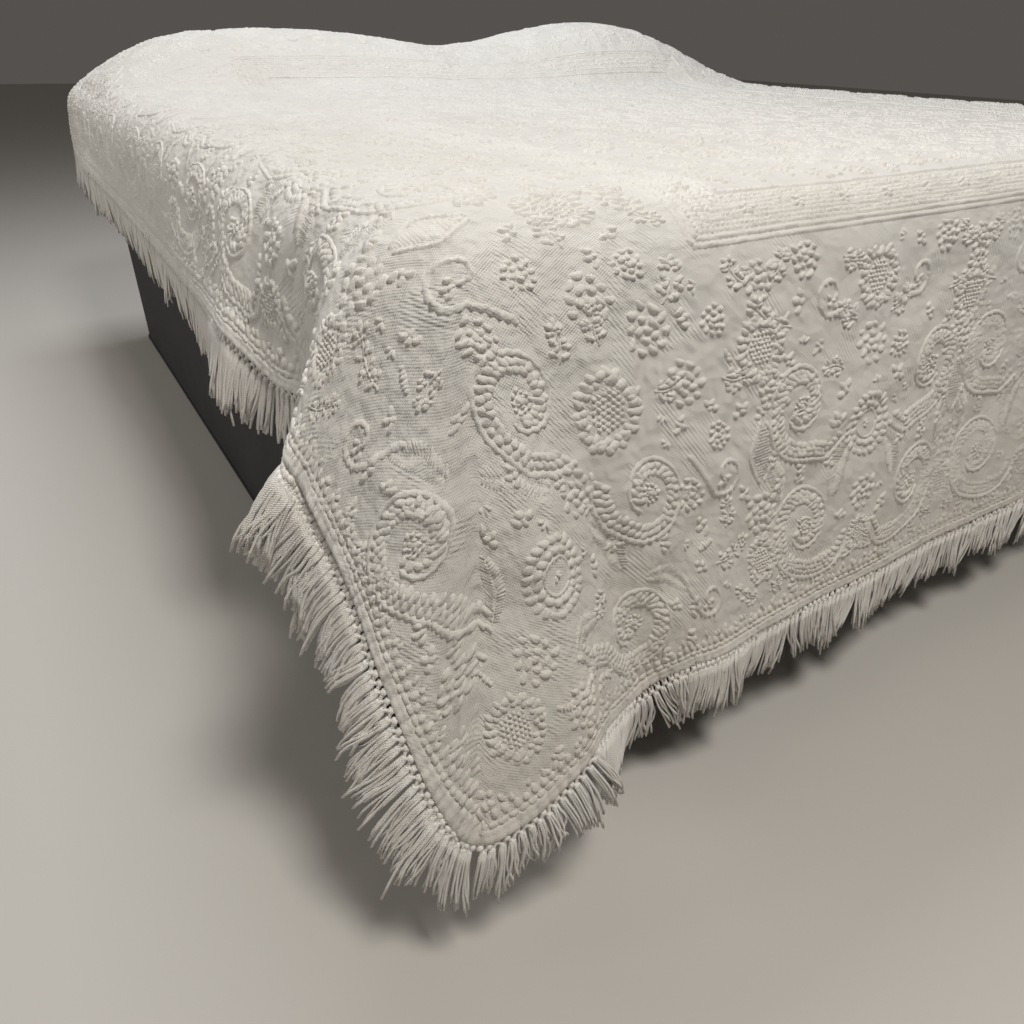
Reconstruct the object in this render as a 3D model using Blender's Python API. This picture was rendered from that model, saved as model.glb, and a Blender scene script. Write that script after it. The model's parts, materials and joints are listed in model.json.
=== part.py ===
"""A raised-weave cotton bedspread with a knotted fringe, draped over a bed with two pillows.

Metres, +Z up. +X is the right-hand side as seen from the foot of the bed, +Y points to the
head, and the origin is on the floor under the middle of the bed base.

Every point of the spread is found by drape(across, along): across and along are where the
point lies on the flat cloth, measured from the foot-left corner of the bed's top. Beyond the
bed's edge the cloth falls in straight rulings from the rounded edge to the hem, and the hem's
own path in space is what makes the folds.
"""
import math
from collections import namedtuple

import bmesh
import bpy
from mathutils import Vector

# Bed
BED_WIDTH = 1.93
BED_LENGTH = 2.03
TOP_HEIGHT = 0.68            # top of the made bed above the floor
MATTRESS_DEPTH = 0.26
MATTRESS_INSET = 0.014       # the cloth's outline stands this far outside the mattress
BASE_INSET = 0.035           # the base is this much narrower than the cloth's outline
CORNER_RADIUS = 0.11         # the bed's vertical corners, in plan
EDGE_ROUNDING = 0.085        # the cloth starts to turn down this far inside the bed's edge
BASE_EDGE = 0.006            # rounding of the base's edges
MATTRESS_LOWER_EDGE = 0.03
MATTRESS_UPPER_EDGE = 0.075
TOUCH_GAP = 0.0003
REST_GAP = 0.0025            # between the mattress and the underside of the cloth

# Bedspread
CLOTH_THICKNESS = 0.003
SIDE_DROP = 0.20
FOOT_DROP = 0.52
SIDE_FOLD_GROWTH = 1.4       # how late the hem's folds set in on the way down from the edge
FOOT_FOLD_GROWTH = 2.8
FOLD_SPREAD = 0.11           # spacing of the samples that give the hem's path without folds

# Fringe
STRIP_GAP = 0.0018           # between the hem and the strip that carries the strands
STRIP_DEPTH = 0.012
STRIP_THICKNESS = 0.0044
STRIP_DROOP = 0.4            # downward pull on the strip, as a share of the cloth's own slant
STRAND_LENGTH = 0.078
STRAND_PITCH = 0.030
STRAND_SHARE = 0.62          # of the pitch that a lock of yarn fills
STRAND_TAPER = 0.72
YARN_DROOP = 0.68            # 1 hangs straight down, 0 runs on in the plane of the cloth
TIP_CLEARANCE = 0.010        # the strips stop this far short of the cloth's corners
HEAD_CLEARANCE = 0.004       # and this far short of its hem at the head

# Pillows
PILLOW_WIDTH = 0.82
PILLOW_DEPTH = 0.425
PILLOW_BACK = 1.97           # rear edge of the pillows, from the foot of the bed
PILLOW_SEAM = 0.020          # height of the seam above the mattress
PILLOW_CLEARANCE = 0.007     # between the pillow and the middle of the cloth over it
PILLOW_FULL_ACROSS = 2.6     # 2 is an evenly round crown, more is flatter with steeper edges
PILLOW_FULL_ALONG = 2.4
PILLOW_BOW_ENDS = 0.03       # how far the edges bow in between the corners
PILLOW_BOW_SIDES = 0.035

# Fineness of the shapes
NORMAL_STEP = 0.004
HEM_STEP = 0.005
HEM_DEPTH = 0.020            # the cloth's direction at the hem is taken over this depth
CORNER_FACETS = 5
EDGE_FACETS = 4
PILLOW_COLUMNS = 14
PILLOW_ROWS = 9

HemFold = namedtuple("HemFold", "place run x y z")

# The hem's path, a row for each crest, valley and turn. run is the distance along the flat
# hem from the cloth's corner, negative up the side and positive along the foot; x is inward
# from the bed's side, y toward the head from the bed's foot and z up from its top.
LEFT_HEM = [
    HemFold("head end", -2.55, -0.025, 2.030, -0.150),
    HemFold("side crest", -2.20, -0.040, 1.670, -0.160),
    HemFold("side valley", -1.95, -0.025, 1.415, -0.180),
    HemFold("side", -1.50, -0.025, 0.965, -0.190),
    HemFold("side", -1.12, -0.035, 0.570, -0.185),
    HemFold("low crest", -0.92, -0.055, 0.365, -0.168),
    HemFold("valley", -0.80, -0.025, 0.270, -0.202),
    HemFold("valley", -0.69, -0.015, 0.160, -0.194),
    HemFold("crest over the lobe", -0.57, -0.085, 0.050, -0.174),
    HemFold("lobe turns down", -0.47, -0.080, 0.025, -0.206),
    HemFold("lobe side", -0.335, -0.065, -0.015, -0.281),
    HemFold("lobe side", -0.21, -0.060, -0.070, -0.365),
    HemFold("lobe side", -0.09, -0.043, -0.120, -0.462),
    HemFold("corner tip", 0.00, -0.018, -0.145, -0.507),
    HemFold("lobe front", 0.06, 0.032, -0.153, -0.498),
    HemFold("lobe front", 0.14, 0.095, -0.149, -0.466),
    HemFold("lobe tucks in", 0.175, 0.120, -0.139, -0.452),
    HemFold("lobe tucks in", 0.25, 0.190, -0.095, -0.495),
    HemFold("foot valley", 0.30, 0.230, -0.078, -0.510),
    HemFold("foot", 0.37, 0.280, -0.088, -0.486),
    HemFold("foot crest", 0.45, 0.332, -0.097, -0.480),
    HemFold("foot valley", 0.58, 0.430, -0.084, -0.484),
    HemFold("foot", 0.79, 0.615, -0.080, -0.485),
    HemFold("foot", 0.98, 0.795, -0.068, -0.490),
    HemFold("middle of the foot", 1.165, 0.990, -0.074, -0.490),
]
# The same along the right-hand half, with x inward from the bed's right side.
RIGHT_HEM = [
    HemFold("head end", -2.55, -0.030, 2.030, -0.146),
    HemFold("side valley", -2.15, -0.024, 1.620, -0.160),
    HemFold("side crest", -1.85, -0.040, 1.320, -0.184),
    HemFold("side", -1.60, -0.026, 1.065, -0.190),
    HemFold("side crest", -1.35, -0.038, 0.815, -0.186),
    HemFold("side", -1.15, -0.028, 0.612, -0.190),
    HemFold("low crest", -0.86, -0.052, 0.318, -0.178),
    HemFold("valley", -0.66, -0.030, 0.140, -0.200),
    HemFold("lobe swings out", -0.50, -0.084, 0.014, -0.182),
    HemFold("crest over the lobe", -0.40, -0.122, -0.052, -0.184),
    HemFold("lobe turns down", -0.30, -0.130, -0.106, -0.242),
    HemFold("lobe side", -0.18, -0.108, -0.126, -0.346),
    HemFold("lobe side", -0.06, -0.078, -0.129, -0.460),
    HemFold("corner tip", 0.01, -0.046, -0.134, -0.506),
    HemFold("lobe front", 0.10, 0.034, -0.142, -0.494),
    HemFold("lobe tucks in", 0.18, 0.094, -0.124, -0.476),
    HemFold("foot valley", 0.30, 0.146, -0.058, -0.510),
    HemFold("foot crest", 0.44, 0.236, -0.090, -0.482),
    HemFold("foot valley", 0.55, 0.330, -0.078, -0.488),
    HemFold("foot crest", 0.68, 0.452, -0.084, -0.480),
    HemFold("foot", 0.82, 0.590, -0.072, -0.488),
    HemFold("middle of the foot", 1.165, 0.940, -0.074, -0.490),
]

Rise = namedtuple("Rise", "at height")

# The cloth's height over the pillows, across the bed and as a share of it along the bed.
PILLOWS_ACROSS = [
    Rise(0.00, 0.000),
    Rise(0.05, 0.026),
    Rise(0.13, 0.068),
    Rise(0.21, 0.096),
    Rise(0.33, 0.112),
    Rise(0.50, 0.118),
    Rise(0.66, 0.112),
    Rise(0.82, 0.096),
    Rise(0.98, 0.085),
    Rise(1.12, 0.098),
    Rise(1.28, 0.130),
    Rise(1.44, 0.150),
    Rise(1.58, 0.143),
    Rise(1.70, 0.112),
    Rise(1.80, 0.070),
    Rise(1.87, 0.035),
    Rise(1.93, 0.000),
]
PILLOWS_ALONG = [
    Rise(1.34, 0.00),
    Rise(1.44, 0.10),
    Rise(1.53, 0.50),
    Rise(1.62, 0.86),
    Rise(1.74, 1.00),
    Rise(1.86, 0.98),
    Rise(1.95, 0.78),
    Rise(2.03, 0.34),
]

Pillow = namedtuple("Pillow", "name middle height")
PILLOWS = [
    Pillow("pillow_left", 0.51, 0.112),
    Pillow("pillow_right", 1.39, 0.144),
]

# Unevenness of the locks of yarn from one to the next, each a sum of waves.
Wave = namedtuple("Wave", "size pace start")
LOCK_SWAY = [Wave(0.07, 2.3, 0.0), Wave(0.05, 0.9, 1.0)]
LOCK_GROWTH = [Wave(0.05, 1.7, 0.0), Wave(0.04, 4.1, 0.0)]

# Grid lines of the sheet, as runs of equal steps: how far, and in how many steps.
Step = namedtuple("Step", "to count")
ACROSS_STEPS = [
    Step(-0.085, 3),
    Step(0.085, 6),
    Step(0.53, 8),
    Step(1.40, 7),
    Step(1.845, 8),
    Step(2.015, 6),
    Step(2.13, 3),
]
ALONG_STEPS = [
    Step(-0.085, 8),
    Step(0.085, 6),
    Step(0.505, 7),
    Step(1.34, 6),
    Step(2.03, 9),
]

Finish = namedtuple("Finish", "color roughness")
COTTON = Finish((0.86, 0.83, 0.78), 0.95)
YARN = Finish((0.85, 0.82, 0.77), 0.90)
TICKING = Finish((0.78, 0.76, 0.72), 0.90)
PERCALE = Finish((0.88, 0.87, 0.85), 0.90)
CHARCOAL = Finish((0.05, 0.05, 0.055), 0.95)


def clear_scene():
    for item in list(bpy.data.objects):
        bpy.data.objects.remove(item, do_unlink=True)


def make_object(name, mesh_points, faces, finish):
    """One closed mesh object with its own material, seen from the bed's own frame."""
    mesh = bpy.data.meshes.new(name)
    mesh.from_pydata([tuple(point) for point in mesh_points], [], faces)
    shape = bmesh.new()
    shape.from_mesh(mesh)
    bmesh.ops.recalc_face_normals(shape, faces=shape.faces)
    if shape.calc_volume(signed=True) < 0:
        bmesh.ops.reverse_faces(shape, faces=shape.faces)
    shape.to_mesh(mesh)
    shape.free()
    material = bpy.data.materials.new(name + "_finish")
    material.use_nodes = True
    shader = material.node_tree.nodes["Principled BSDF"]
    shader.inputs["Base Color"].default_value = (*finish.color, 1.0)
    shader.inputs["Roughness"].default_value = finish.roughness
    shader.inputs["Metallic"].default_value = 0.0
    mesh.materials.append(material)
    item = bpy.data.objects.new(name, mesh)
    item.location = (-BED_WIDTH / 2, -BED_LENGTH / 2, TOP_HEIGHT)
    bpy.context.scene.collection.objects.link(item)


def uneven(waves, count):
    return sum(wave.size * math.sin(wave.pace * count + wave.start) for wave in waves)


def smooth_between(table, key, position, field):
    """Value of a column at position, on a smooth curve through the table's rows."""
    keys = [getattr(row, key) for row in table]
    values = [getattr(row, field) for row in table]
    last = len(keys) - 1
    position = min(max(position, keys[0]), keys[last])
    index = 0
    while index < last - 1 and keys[index + 1] < position:
        index += 1
    span = keys[index + 1] - keys[index]

    def slope(i):
        before = max(i - 1, 0)
        after = min(i + 1, last)
        return (values[after] - values[before]) / (keys[after] - keys[before])

    t = (position - keys[index]) / span
    start = (1 + 2 * t) * (1 - t) ** 2 * values[index]
    start += t * (1 - t) ** 2 * span * slope(index)
    end = t * t * (3 - 2 * t) * values[index + 1]
    end += t * t * (t - 1) * span * slope(index + 1)
    return start + end


def hem_point(on_right, run):
    """Hem position in the bed's frame, for a run measured from the corner of one half.

    A run past the middle of the foot goes on along the other half.
    """
    whole_foot = BED_WIDTH + 2 * SIDE_DROP
    if run > whole_foot / 2:
        return hem_point(not on_right, whole_foot - run)
    table = RIGHT_HEM if on_right else LEFT_HEM
    x, y, z = (smooth_between(table, "run", run, field) for field in "xyz")
    return Vector((BED_WIDTH - x if on_right else x, y, z))


def hem_over(across, along):
    """Hem position for a point of the flat cloth's outline, and the same with no folds."""
    on_right = across > BED_WIDTH / 2
    inward = min(across, BED_WIDTH - across)
    run = inward + SIDE_DROP
    if run <= along + FOOT_DROP:
        run = -(along + FOOT_DROP)
    plain = Vector()
    weights = (1, 2, 3, 2, 1)
    for step, weight in enumerate(weights):
        near = run + (step - len(weights) // 2) * FOLD_SPREAD
        plain += weight * hem_point(on_right, near) / sum(weights)
    return hem_point(on_right, run), plain


def pillow_rise(across, along):
    """Height that the pillows add under the cloth."""
    if along <= PILLOWS_ALONG[0].at:
        return 0.0
    height = smooth_between(PILLOWS_ACROSS, "at", across, "height")
    return max(height, 0.0) * smooth_between(PILLOWS_ALONG, "at", along, "height")


def drape(across, along):
    """Place in space of a point of the flat cloth, at the middle of its thickness."""
    inner = Vector((
        min(max(across, CORNER_RADIUS), BED_WIDTH - CORNER_RADIUS),
        max(along, CORNER_RADIUS),
    ))
    offset = Vector((across, along)) - inner
    reach = offset.length
    rise = Vector((0.0, 0.0, pillow_rise(across, along)))
    if reach == 0:
        return Vector((across, along, 0.0)) + rise
    heading = offset / reach
    lengths = []
    if heading.x < 0:
        lengths.append((inner.x + SIDE_DROP) / -heading.x)
    if heading.x > 0:
        lengths.append((BED_WIDTH + SIDE_DROP - inner.x) / heading.x)
    if heading.y < 0:
        lengths.append((inner.y + FOOT_DROP) / -heading.y)
    full_reach = min(lengths)
    outline = inner + heading * full_reach
    edge = Vector((*(inner + heading * CORNER_RADIUS), 0.0))
    level = Vector((heading.x, heading.y, 0.0))
    hem, plain = hem_over(outline.x, outline.y)
    past_edge = reach - CORNER_RADIUS
    share = past_edge / (full_reach - CORNER_RADIUS)
    fall = (plain - edge) / (full_reach - CORNER_RADIUS)
    growth = SIDE_FOLD_GROWTH + (FOOT_FOLD_GROWTH - SIDE_FOLD_GROWTH) * heading.y ** 2
    folds = (hem - plain) * max(share, 0.0) ** growth
    if past_edge <= -EDGE_ROUNDING:
        return edge + level * past_edge + rise
    if past_edge >= EDGE_ROUNDING:
        return edge + fall * past_edge + folds + rise
    turn = (past_edge + EDGE_ROUNDING) / (2 * EDGE_ROUNDING)
    inside = level * (-EDGE_ROUNDING * (1 - turn) ** 2)
    outside = fall * (EDGE_ROUNDING * turn ** 2)
    return edge + inside + outside + folds + rise


def cloth_normal(across, along):
    """Outward direction at a point of the cloth."""
    right = drape(across + NORMAL_STEP, along) - drape(across - NORMAL_STEP, along)
    ahead = drape(across, along + NORMAL_STEP) - drape(across, along - NORMAL_STEP)
    return right.cross(ahead).normalized()


def grid_lines(start, steps):
    lines = [start]
    for step in steps:
        first = lines[-1]
        for count in range(1, step.count + 1):
            lines.append(first + (step.to - first) * count / step.count)
    return lines


def make_bedspread():
    """The spread as one closed sheet: an upper face, an under face and the rim between."""
    across_lines = grid_lines(-SIDE_DROP, ACROSS_STEPS)
    along_lines = grid_lines(-FOOT_DROP, ALONG_STEPS)
    columns = len(across_lines)
    rows = len(along_lines)
    upper = []
    under = []
    for along in along_lines:
        for across in across_lines:
            point = drape(across, along)
            half = cloth_normal(across, along) * (CLOTH_THICKNESS / 2)
            upper.append(point + half)
            under.append(point - half)
    lower_start = len(upper)
    faces = []
    for row in range(rows - 1):
        for column in range(columns - 1):
            corner = row * columns + column
            quad = (corner, corner + 1, corner + columns + 1, corner + columns)
            if across_lines[column] > BED_WIDTH / 2:
                quad = quad[1:] + quad[:1]
            for triangle in ((quad[0], quad[1], quad[2]), (quad[0], quad[2], quad[3])):
                faces.append(triangle)
                faces.append(tuple(lower_start + i for i in reversed(triangle)))
    rim = list(range(columns))
    rim += [row * columns + columns - 1 for row in range(1, rows)]
    rim += [(rows - 1) * columns + column for column in range(columns - 2, -1, -1)]
    rim += [row * columns for row in range(rows - 2, 0, -1)]
    for i, first in enumerate(rim):
        second = rim[(i + 1) % len(rim)]
        faces.append((second, first, lower_start + first, lower_start + second))
    make_object("bedspread", upper + under, faces, COTTON)


def on_facet(at, lines, point_for):
    """Place on the straight edge between the two grid lines on either side of at."""
    after = next(i for i, line in enumerate(lines) if i > 0 and line >= at - 1e-9)
    share = (at - lines[after - 1]) / (lines[after] - lines[after - 1])
    return point_for(lines[after - 1]).lerp(point_for(lines[after]), share)


def hem_place(across, along):
    """Place on the sheet's own edge, which runs straight from one grid line to the next."""
    if along > -FOOT_DROP + 1e-6:
        lines = grid_lines(-FOOT_DROP, ALONG_STEPS)
        return on_facet(along, lines, lambda line: drape(across, line))
    lines = grid_lines(-SIDE_DROP, ACROSS_STEPS)
    return on_facet(across, lines, lambda line: drape(line, along))


HemAxes = namedtuple("HemAxes", "along onward outward")


def hem_axes(at, way):
    """Directions at a point of the hem: along it, on past the cloth, and out of the cloth."""
    step = way * HEM_STEP
    tangent = (drape(*(at + step)) - drape(*(at - step))).normalized()
    inward = Vector((-way.y, way.x)) * HEM_DEPTH
    onward = drape(*at) - drape(*(at + inward))
    onward = (onward - tangent * onward.dot(tangent)).normalized()
    return HemAxes(tangent, onward, tangent.cross(onward).normalized())


def make_fringe(name, start, end):
    """A strip that follows the hem, with locks of yarn hanging from its lower face.

    start and end are flat cloth points on the hem, taken so that the cloth lies to the left
    of the way from start to end.
    """
    run = (Vector(end) - Vector(start)).length
    way = (Vector(end) - Vector(start)) / run
    count = round(run / STRAND_PITCH)
    pitch = run / count
    points = []
    for station in range(2 * count):
        lock = station // 2
        along_run = (lock + (1 - STRAND_SHARE) / 2) * pitch
        along_run += (station % 2) * STRAND_SHARE * pitch
        at = Vector(start) + way * along_run
        axes = hem_axes(at, way)
        drop = (axes.onward + Vector((0, 0, -STRIP_DROOP))).normalized()
        half = axes.outward * (STRIP_THICKNESS / 2)
        top = hem_place(*at) + axes.onward * STRIP_GAP
        bottom = top + drop * STRIP_DEPTH
        points += [top + half, bottom + half, bottom - half, top - half]
    faces = []
    for station in range(2 * count - 1):
        base = station * 4
        for side in range(4):
            if side == 1 and station % 2 == 0:
                continue
            here = base + side
            there = base + (side + 1) % 4
            faces.append((here, there, there + 4, here + 4))
    last = (2 * count - 1) * 4
    faces.append((0, 3, 2, 1))
    faces.append((last, last + 1, last + 2, last + 3))
    for lock in range(count):
        at = Vector(start) + way * ((lock + 0.5) * pitch)
        axes = hem_axes(at, way)
        down = Vector((0, 0, -YARN_DROOP))
        sway = axes.along * uneven(LOCK_SWAY, lock)
        lean = (axes.onward * (1 - YARN_DROOP) + down + sway).normalized()
        length = STRAND_LENGTH * (1 + uneven(LOCK_GROWTH, lock))
        root = [lock * 8 + 1, lock * 8 + 2, lock * 8 + 6, lock * 8 + 5]
        middle = sum((points[i] for i in root), Vector()) / 4
        tip_start = len(points)
        for i in root:
            points.append(middle + (points[i] - middle) * STRAND_TAPER + lean * length)
        for side in range(4):
            other = (side + 1) % 4
            faces.append((root[side], root[other], tip_start + other, tip_start + side))
        faces.append(tuple(tip_start + side for side in range(4)))
    make_object(name, points, faces, YARN)


def rounded_outline(inset, radius):
    """Plan outline of the bed, drawn in by inset, with round corners."""
    corners = [
        (BED_WIDTH - inset - radius, BED_LENGTH - inset - radius, 0),
        (inset + radius, BED_LENGTH - inset - radius, 90),
        (inset + radius, inset + radius, 180),
        (BED_WIDTH - inset - radius, inset + radius, 270),
    ]
    outline = []
    for x, y, start in corners:
        for step in range(CORNER_FACETS + 1):
            angle = math.radians(start + 90 * step / CORNER_FACETS)
            outline.append((x + radius * math.cos(angle), y + radius * math.sin(angle)))
    return outline


def make_block(name, inset, radius, bottom, top, lower_round, upper_round, finish):
    """A slab of the bed with round vertical corners and rounded lower and upper edges."""
    levels = []
    for turn in range(EDGE_FACETS + 1):
        angle = math.radians(90 * turn / EDGE_FACETS)
        drawn_in = lower_round * (1 - math.sin(angle))
        levels.append((bottom + lower_round * (1 - math.cos(angle)), drawn_in))
    for turn in range(EDGE_FACETS + 1):
        angle = math.radians(90 * turn / EDGE_FACETS)
        drawn_in = upper_round * (1 - math.cos(angle))
        levels.append((top - upper_round * (1 - math.sin(angle)), drawn_in))
    points = []
    for height, drawn_in in levels:
        for x, y in rounded_outline(inset + drawn_in, radius - drawn_in):
            points.append((x, y, height))
    size = len(points) // len(levels)
    faces = [tuple(range(size - 1, -1, -1))]
    for level in range(len(levels) - 1):
        for i in range(size):
            here = level * size + i
            there = level * size + (i + 1) % size
            faces.append((here, there, there + size, here + size))
    faces.append(tuple((len(levels) - 1) * size + i for i in range(size)))
    make_object(name, points, faces, finish)


def pillow_point(pillow, across, along, face):
    """Place on a pillow; across and along run from -1 to 1, face is 1 above and -1 below."""
    floor = -CLOTH_THICKNESS / 2 - REST_GAP + TOUCH_GAP
    bow_ends = 1 - PILLOW_BOW_ENDS * (1 - along ** 2) * across ** 2
    bow_sides = 1 - PILLOW_BOW_SIDES * (1 - across ** 2) * along ** 2
    x = pillow.middle + PILLOW_WIDTH / 2 * across * bow_ends
    y = PILLOW_BACK - PILLOW_DEPTH / 2 + PILLOW_DEPTH / 2 * along * bow_sides
    crown = 1 - abs(across) ** PILLOW_FULL_ACROSS
    fullness = math.sqrt(max(0.0, crown * (1 - abs(along) ** PILLOW_FULL_ALONG)))
    if face < 0:
        return Vector((x, y, floor + PILLOW_SEAM * (1 - fullness) ** 2))
    top = floor + PILLOW_SEAM + (pillow.height - PILLOW_SEAM) * fullness
    return Vector((x, y, min(top, pillow_rise(x, y) - PILLOW_CLEARANCE)))


def closer_at_ends(count):
    """Stations from -1 to 1 that draw closer together toward both ends."""
    return [math.sin(math.pi / 2 * (2 * step / count - 1)) for step in range(count + 1)]


def make_pillow(pillow):
    """A filled pillow lying on the mattress: crowned above, flattened below, thin at its seam."""
    acrosses = closer_at_ends(PILLOW_COLUMNS)
    alongs = closer_at_ends(PILLOW_ROWS)
    points = []
    number = {}
    for face in (1, -1):
        for row, along in enumerate(alongs):
            for column, across in enumerate(acrosses):
                on_seam = row in (0, PILLOW_ROWS) or column in (0, PILLOW_COLUMNS)
                if face < 0 and on_seam:
                    number[face, row, column] = number[1, row, column]
                    continue
                number[face, row, column] = len(points)
                points.append(pillow_point(pillow, across, along, face))
    faces = []
    for face in (1, -1):
        for row in range(PILLOW_ROWS):
            for column in range(PILLOW_COLUMNS):
                around = ((row, column), (row, column + 1), (row + 1, column + 1), (row + 1, column))
                faces.append(tuple(number[face, *place] for place in around[::face]))
    make_object(pillow.name, points, faces, PERCALE)


def main():
    clear_scene()
    mattress_top = -CLOTH_THICKNESS / 2 - REST_GAP
    mattress_bottom = mattress_top - MATTRESS_DEPTH
    make_block("bed_base", BASE_INSET, CORNER_RADIUS - BASE_INSET, -TOP_HEIGHT,
               mattress_bottom - TOUCH_GAP, BASE_EDGE, BASE_EDGE, CHARCOAL)
    make_block("mattress", MATTRESS_INSET, CORNER_RADIUS - MATTRESS_INSET, mattress_bottom,
               mattress_top, MATTRESS_LOWER_EDGE, MATTRESS_UPPER_EDGE, TICKING)
    for pillow in PILLOWS:
        make_pillow(pillow)
    make_bedspread()
    left = -SIDE_DROP
    right = BED_WIDTH + SIDE_DROP
    foot = -FOOT_DROP
    head = BED_LENGTH
    make_fringe("fringe_left", (left, head - HEAD_CLEARANCE), (left, foot + TIP_CLEARANCE))
    make_fringe("fringe_foot", (left + TIP_CLEARANCE, foot), (right - TIP_CLEARANCE, foot))
    make_fringe("fringe_right", (right, foot + TIP_CLEARANCE), (right, head - HEAD_CLEARANCE))


main()
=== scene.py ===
"""Looks of the woven bedspread on its bed: cloth, raised pattern, knotted fringe, bed and studio."""
import json
import math
from collections import namedtuple

import bmesh
import bpy
import numpy as np
from mathutils import Matrix, Vector

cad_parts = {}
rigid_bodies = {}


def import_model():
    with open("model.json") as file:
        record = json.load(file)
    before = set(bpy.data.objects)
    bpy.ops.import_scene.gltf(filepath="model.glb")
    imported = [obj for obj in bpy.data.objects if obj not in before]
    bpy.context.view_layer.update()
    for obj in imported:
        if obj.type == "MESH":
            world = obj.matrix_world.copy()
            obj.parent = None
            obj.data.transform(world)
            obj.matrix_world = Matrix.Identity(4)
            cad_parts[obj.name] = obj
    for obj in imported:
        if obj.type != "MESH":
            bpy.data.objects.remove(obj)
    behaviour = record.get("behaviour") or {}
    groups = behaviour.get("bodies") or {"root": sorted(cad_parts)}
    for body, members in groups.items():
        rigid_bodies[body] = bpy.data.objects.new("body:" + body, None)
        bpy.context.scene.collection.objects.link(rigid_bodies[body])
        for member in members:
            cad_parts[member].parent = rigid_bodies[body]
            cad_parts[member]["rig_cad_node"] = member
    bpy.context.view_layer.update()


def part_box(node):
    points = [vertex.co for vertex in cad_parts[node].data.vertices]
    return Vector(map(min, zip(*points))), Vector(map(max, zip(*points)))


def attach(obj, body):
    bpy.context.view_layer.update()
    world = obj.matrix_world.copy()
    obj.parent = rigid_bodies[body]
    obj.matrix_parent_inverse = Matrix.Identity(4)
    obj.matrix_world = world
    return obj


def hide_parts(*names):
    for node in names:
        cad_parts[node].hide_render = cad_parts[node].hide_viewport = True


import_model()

# ------------------------------------------------------------------ sizes, in metres
BED_WIDTH = 1.93
BED_LENGTH = 2.03
CORNER_RADIUS = 0.11         # the bed's vertical corners, in plan
EDGE_ROUNDING = 0.085        # the cloth starts to turn down this far inside the bed's edge
SIDE_DROP = 0.20
FOOT_DROP = 0.52
SIDE_FOLD_GROWTH = 1.4       # how late the hem's folds set in on the way down from the edge
FOOT_FOLD_GROWTH = 2.8
FOLD_SPREAD = 0.11           # spacing and weights of the samples that give the hem's path without folds
FOLD_WEIGHTS = (1, 2, 3, 2, 1)
OUT_OF_REACH = 1e3           # stands for a hem that a direction doesn't go toward
CLOTH_THICKNESS = 0.003
WHOLE_FOOT = BED_WIDTH + 2 * SIDE_DROP

bed_low, bed_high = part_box("bed_base")
mattress_low, mattress_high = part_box("mattress")
TOP_HEIGHT = mattress_high[2] + 0.004    # the middle of the cloth on top of the mattress
BED_CORNER = np.array([-BED_WIDTH / 2, -BED_LENGTH / 2, TOP_HEIGHT])

BORDER = 0.562               # from the hem to the far side of the band
BAND = 0.083                 # width of the band that frames the middle
HEM_CHAIN = 0.0160           # middle of the chain of puffs inside the folded edge, from the edge

# ------------------------------------------------------------------ camera
CAMERA_FROM_CORNER = Vector((-0.227, -0.518, 0.122))   # from the foot-left corner of the top
CAMERA_HEADING = math.radians(32.688)                  # from +Y toward +X
CAMERA_PITCH = math.radians(32.202)                    # downward
CAMERA_ROLL = math.radians(-1.246)
CAMERA_LENS = 26.69                                    # mm on a 36 mm sensor


def make_camera():
    forward = Vector((
        math.sin(CAMERA_HEADING) * math.cos(CAMERA_PITCH),
        math.cos(CAMERA_HEADING) * math.cos(CAMERA_PITCH),
        -math.sin(CAMERA_PITCH),
    ))
    right = Vector((math.cos(CAMERA_HEADING), -math.sin(CAMERA_HEADING), 0.0))
    up = right.cross(forward)
    tilted_right = right * math.cos(CAMERA_ROLL) - up * math.sin(CAMERA_ROLL)
    tilted_up = right * math.sin(CAMERA_ROLL) + up * math.cos(CAMERA_ROLL)
    turn = Matrix((tilted_right, tilted_up, -forward)).transposed()
    data = bpy.data.cameras.new("camera")
    data.sensor_width = 36.0
    data.lens = CAMERA_LENS
    data.clip_start = 0.02
    camera = bpy.data.objects.new("camera", data)
    place = Vector(BED_CORNER) + CAMERA_FROM_CORNER
    camera.matrix_world = Matrix.Translation(place) @ turn.to_4x4()
    bpy.context.scene.collection.objects.link(camera)
    bpy.context.scene.camera = camera


make_camera()

# ------------------------------------------------------------------ the cloth's shape
HemFold = namedtuple("HemFold", "run x y z")

# The hem's path, a row for each crest, valley and turn. run is the distance along the flat
# hem from the cloth's corner, negative up the side and positive along the foot; x is inward
# from the bed's side, y toward the head from the bed's foot and z up from its top.
LEFT_HEM = [HemFold(*row) for row in (
    (-2.55, -0.025, 2.030, -0.150), (-2.20, -0.040, 1.670, -0.160), (-1.95, -0.025, 1.415, -0.180),
    (-1.50, -0.025, 0.965, -0.190), (-1.12, -0.035, 0.570, -0.185), (-0.92, -0.055, 0.365, -0.168),
    (-0.80, -0.025, 0.270, -0.202), (-0.69, -0.015, 0.160, -0.194), (-0.57, -0.085, 0.050, -0.174),
    (-0.47, -0.080, 0.025, -0.206), (-0.335, -0.065, -0.015, -0.281), (-0.21, -0.060, -0.070, -0.365),
    (-0.09, -0.043, -0.120, -0.462), (0.00, -0.018, -0.145, -0.507), (0.06, 0.032, -0.153, -0.498),
    (0.14, 0.095, -0.149, -0.466), (0.175, 0.120, -0.139, -0.452), (0.25, 0.190, -0.095, -0.495),
    (0.30, 0.230, -0.078, -0.510), (0.37, 0.280, -0.088, -0.486), (0.45, 0.332, -0.097, -0.480),
    (0.58, 0.430, -0.084, -0.484), (0.79, 0.615, -0.080, -0.485), (0.98, 0.795, -0.068, -0.490),
    (1.165, 0.990, -0.074, -0.490),
)]
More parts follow.
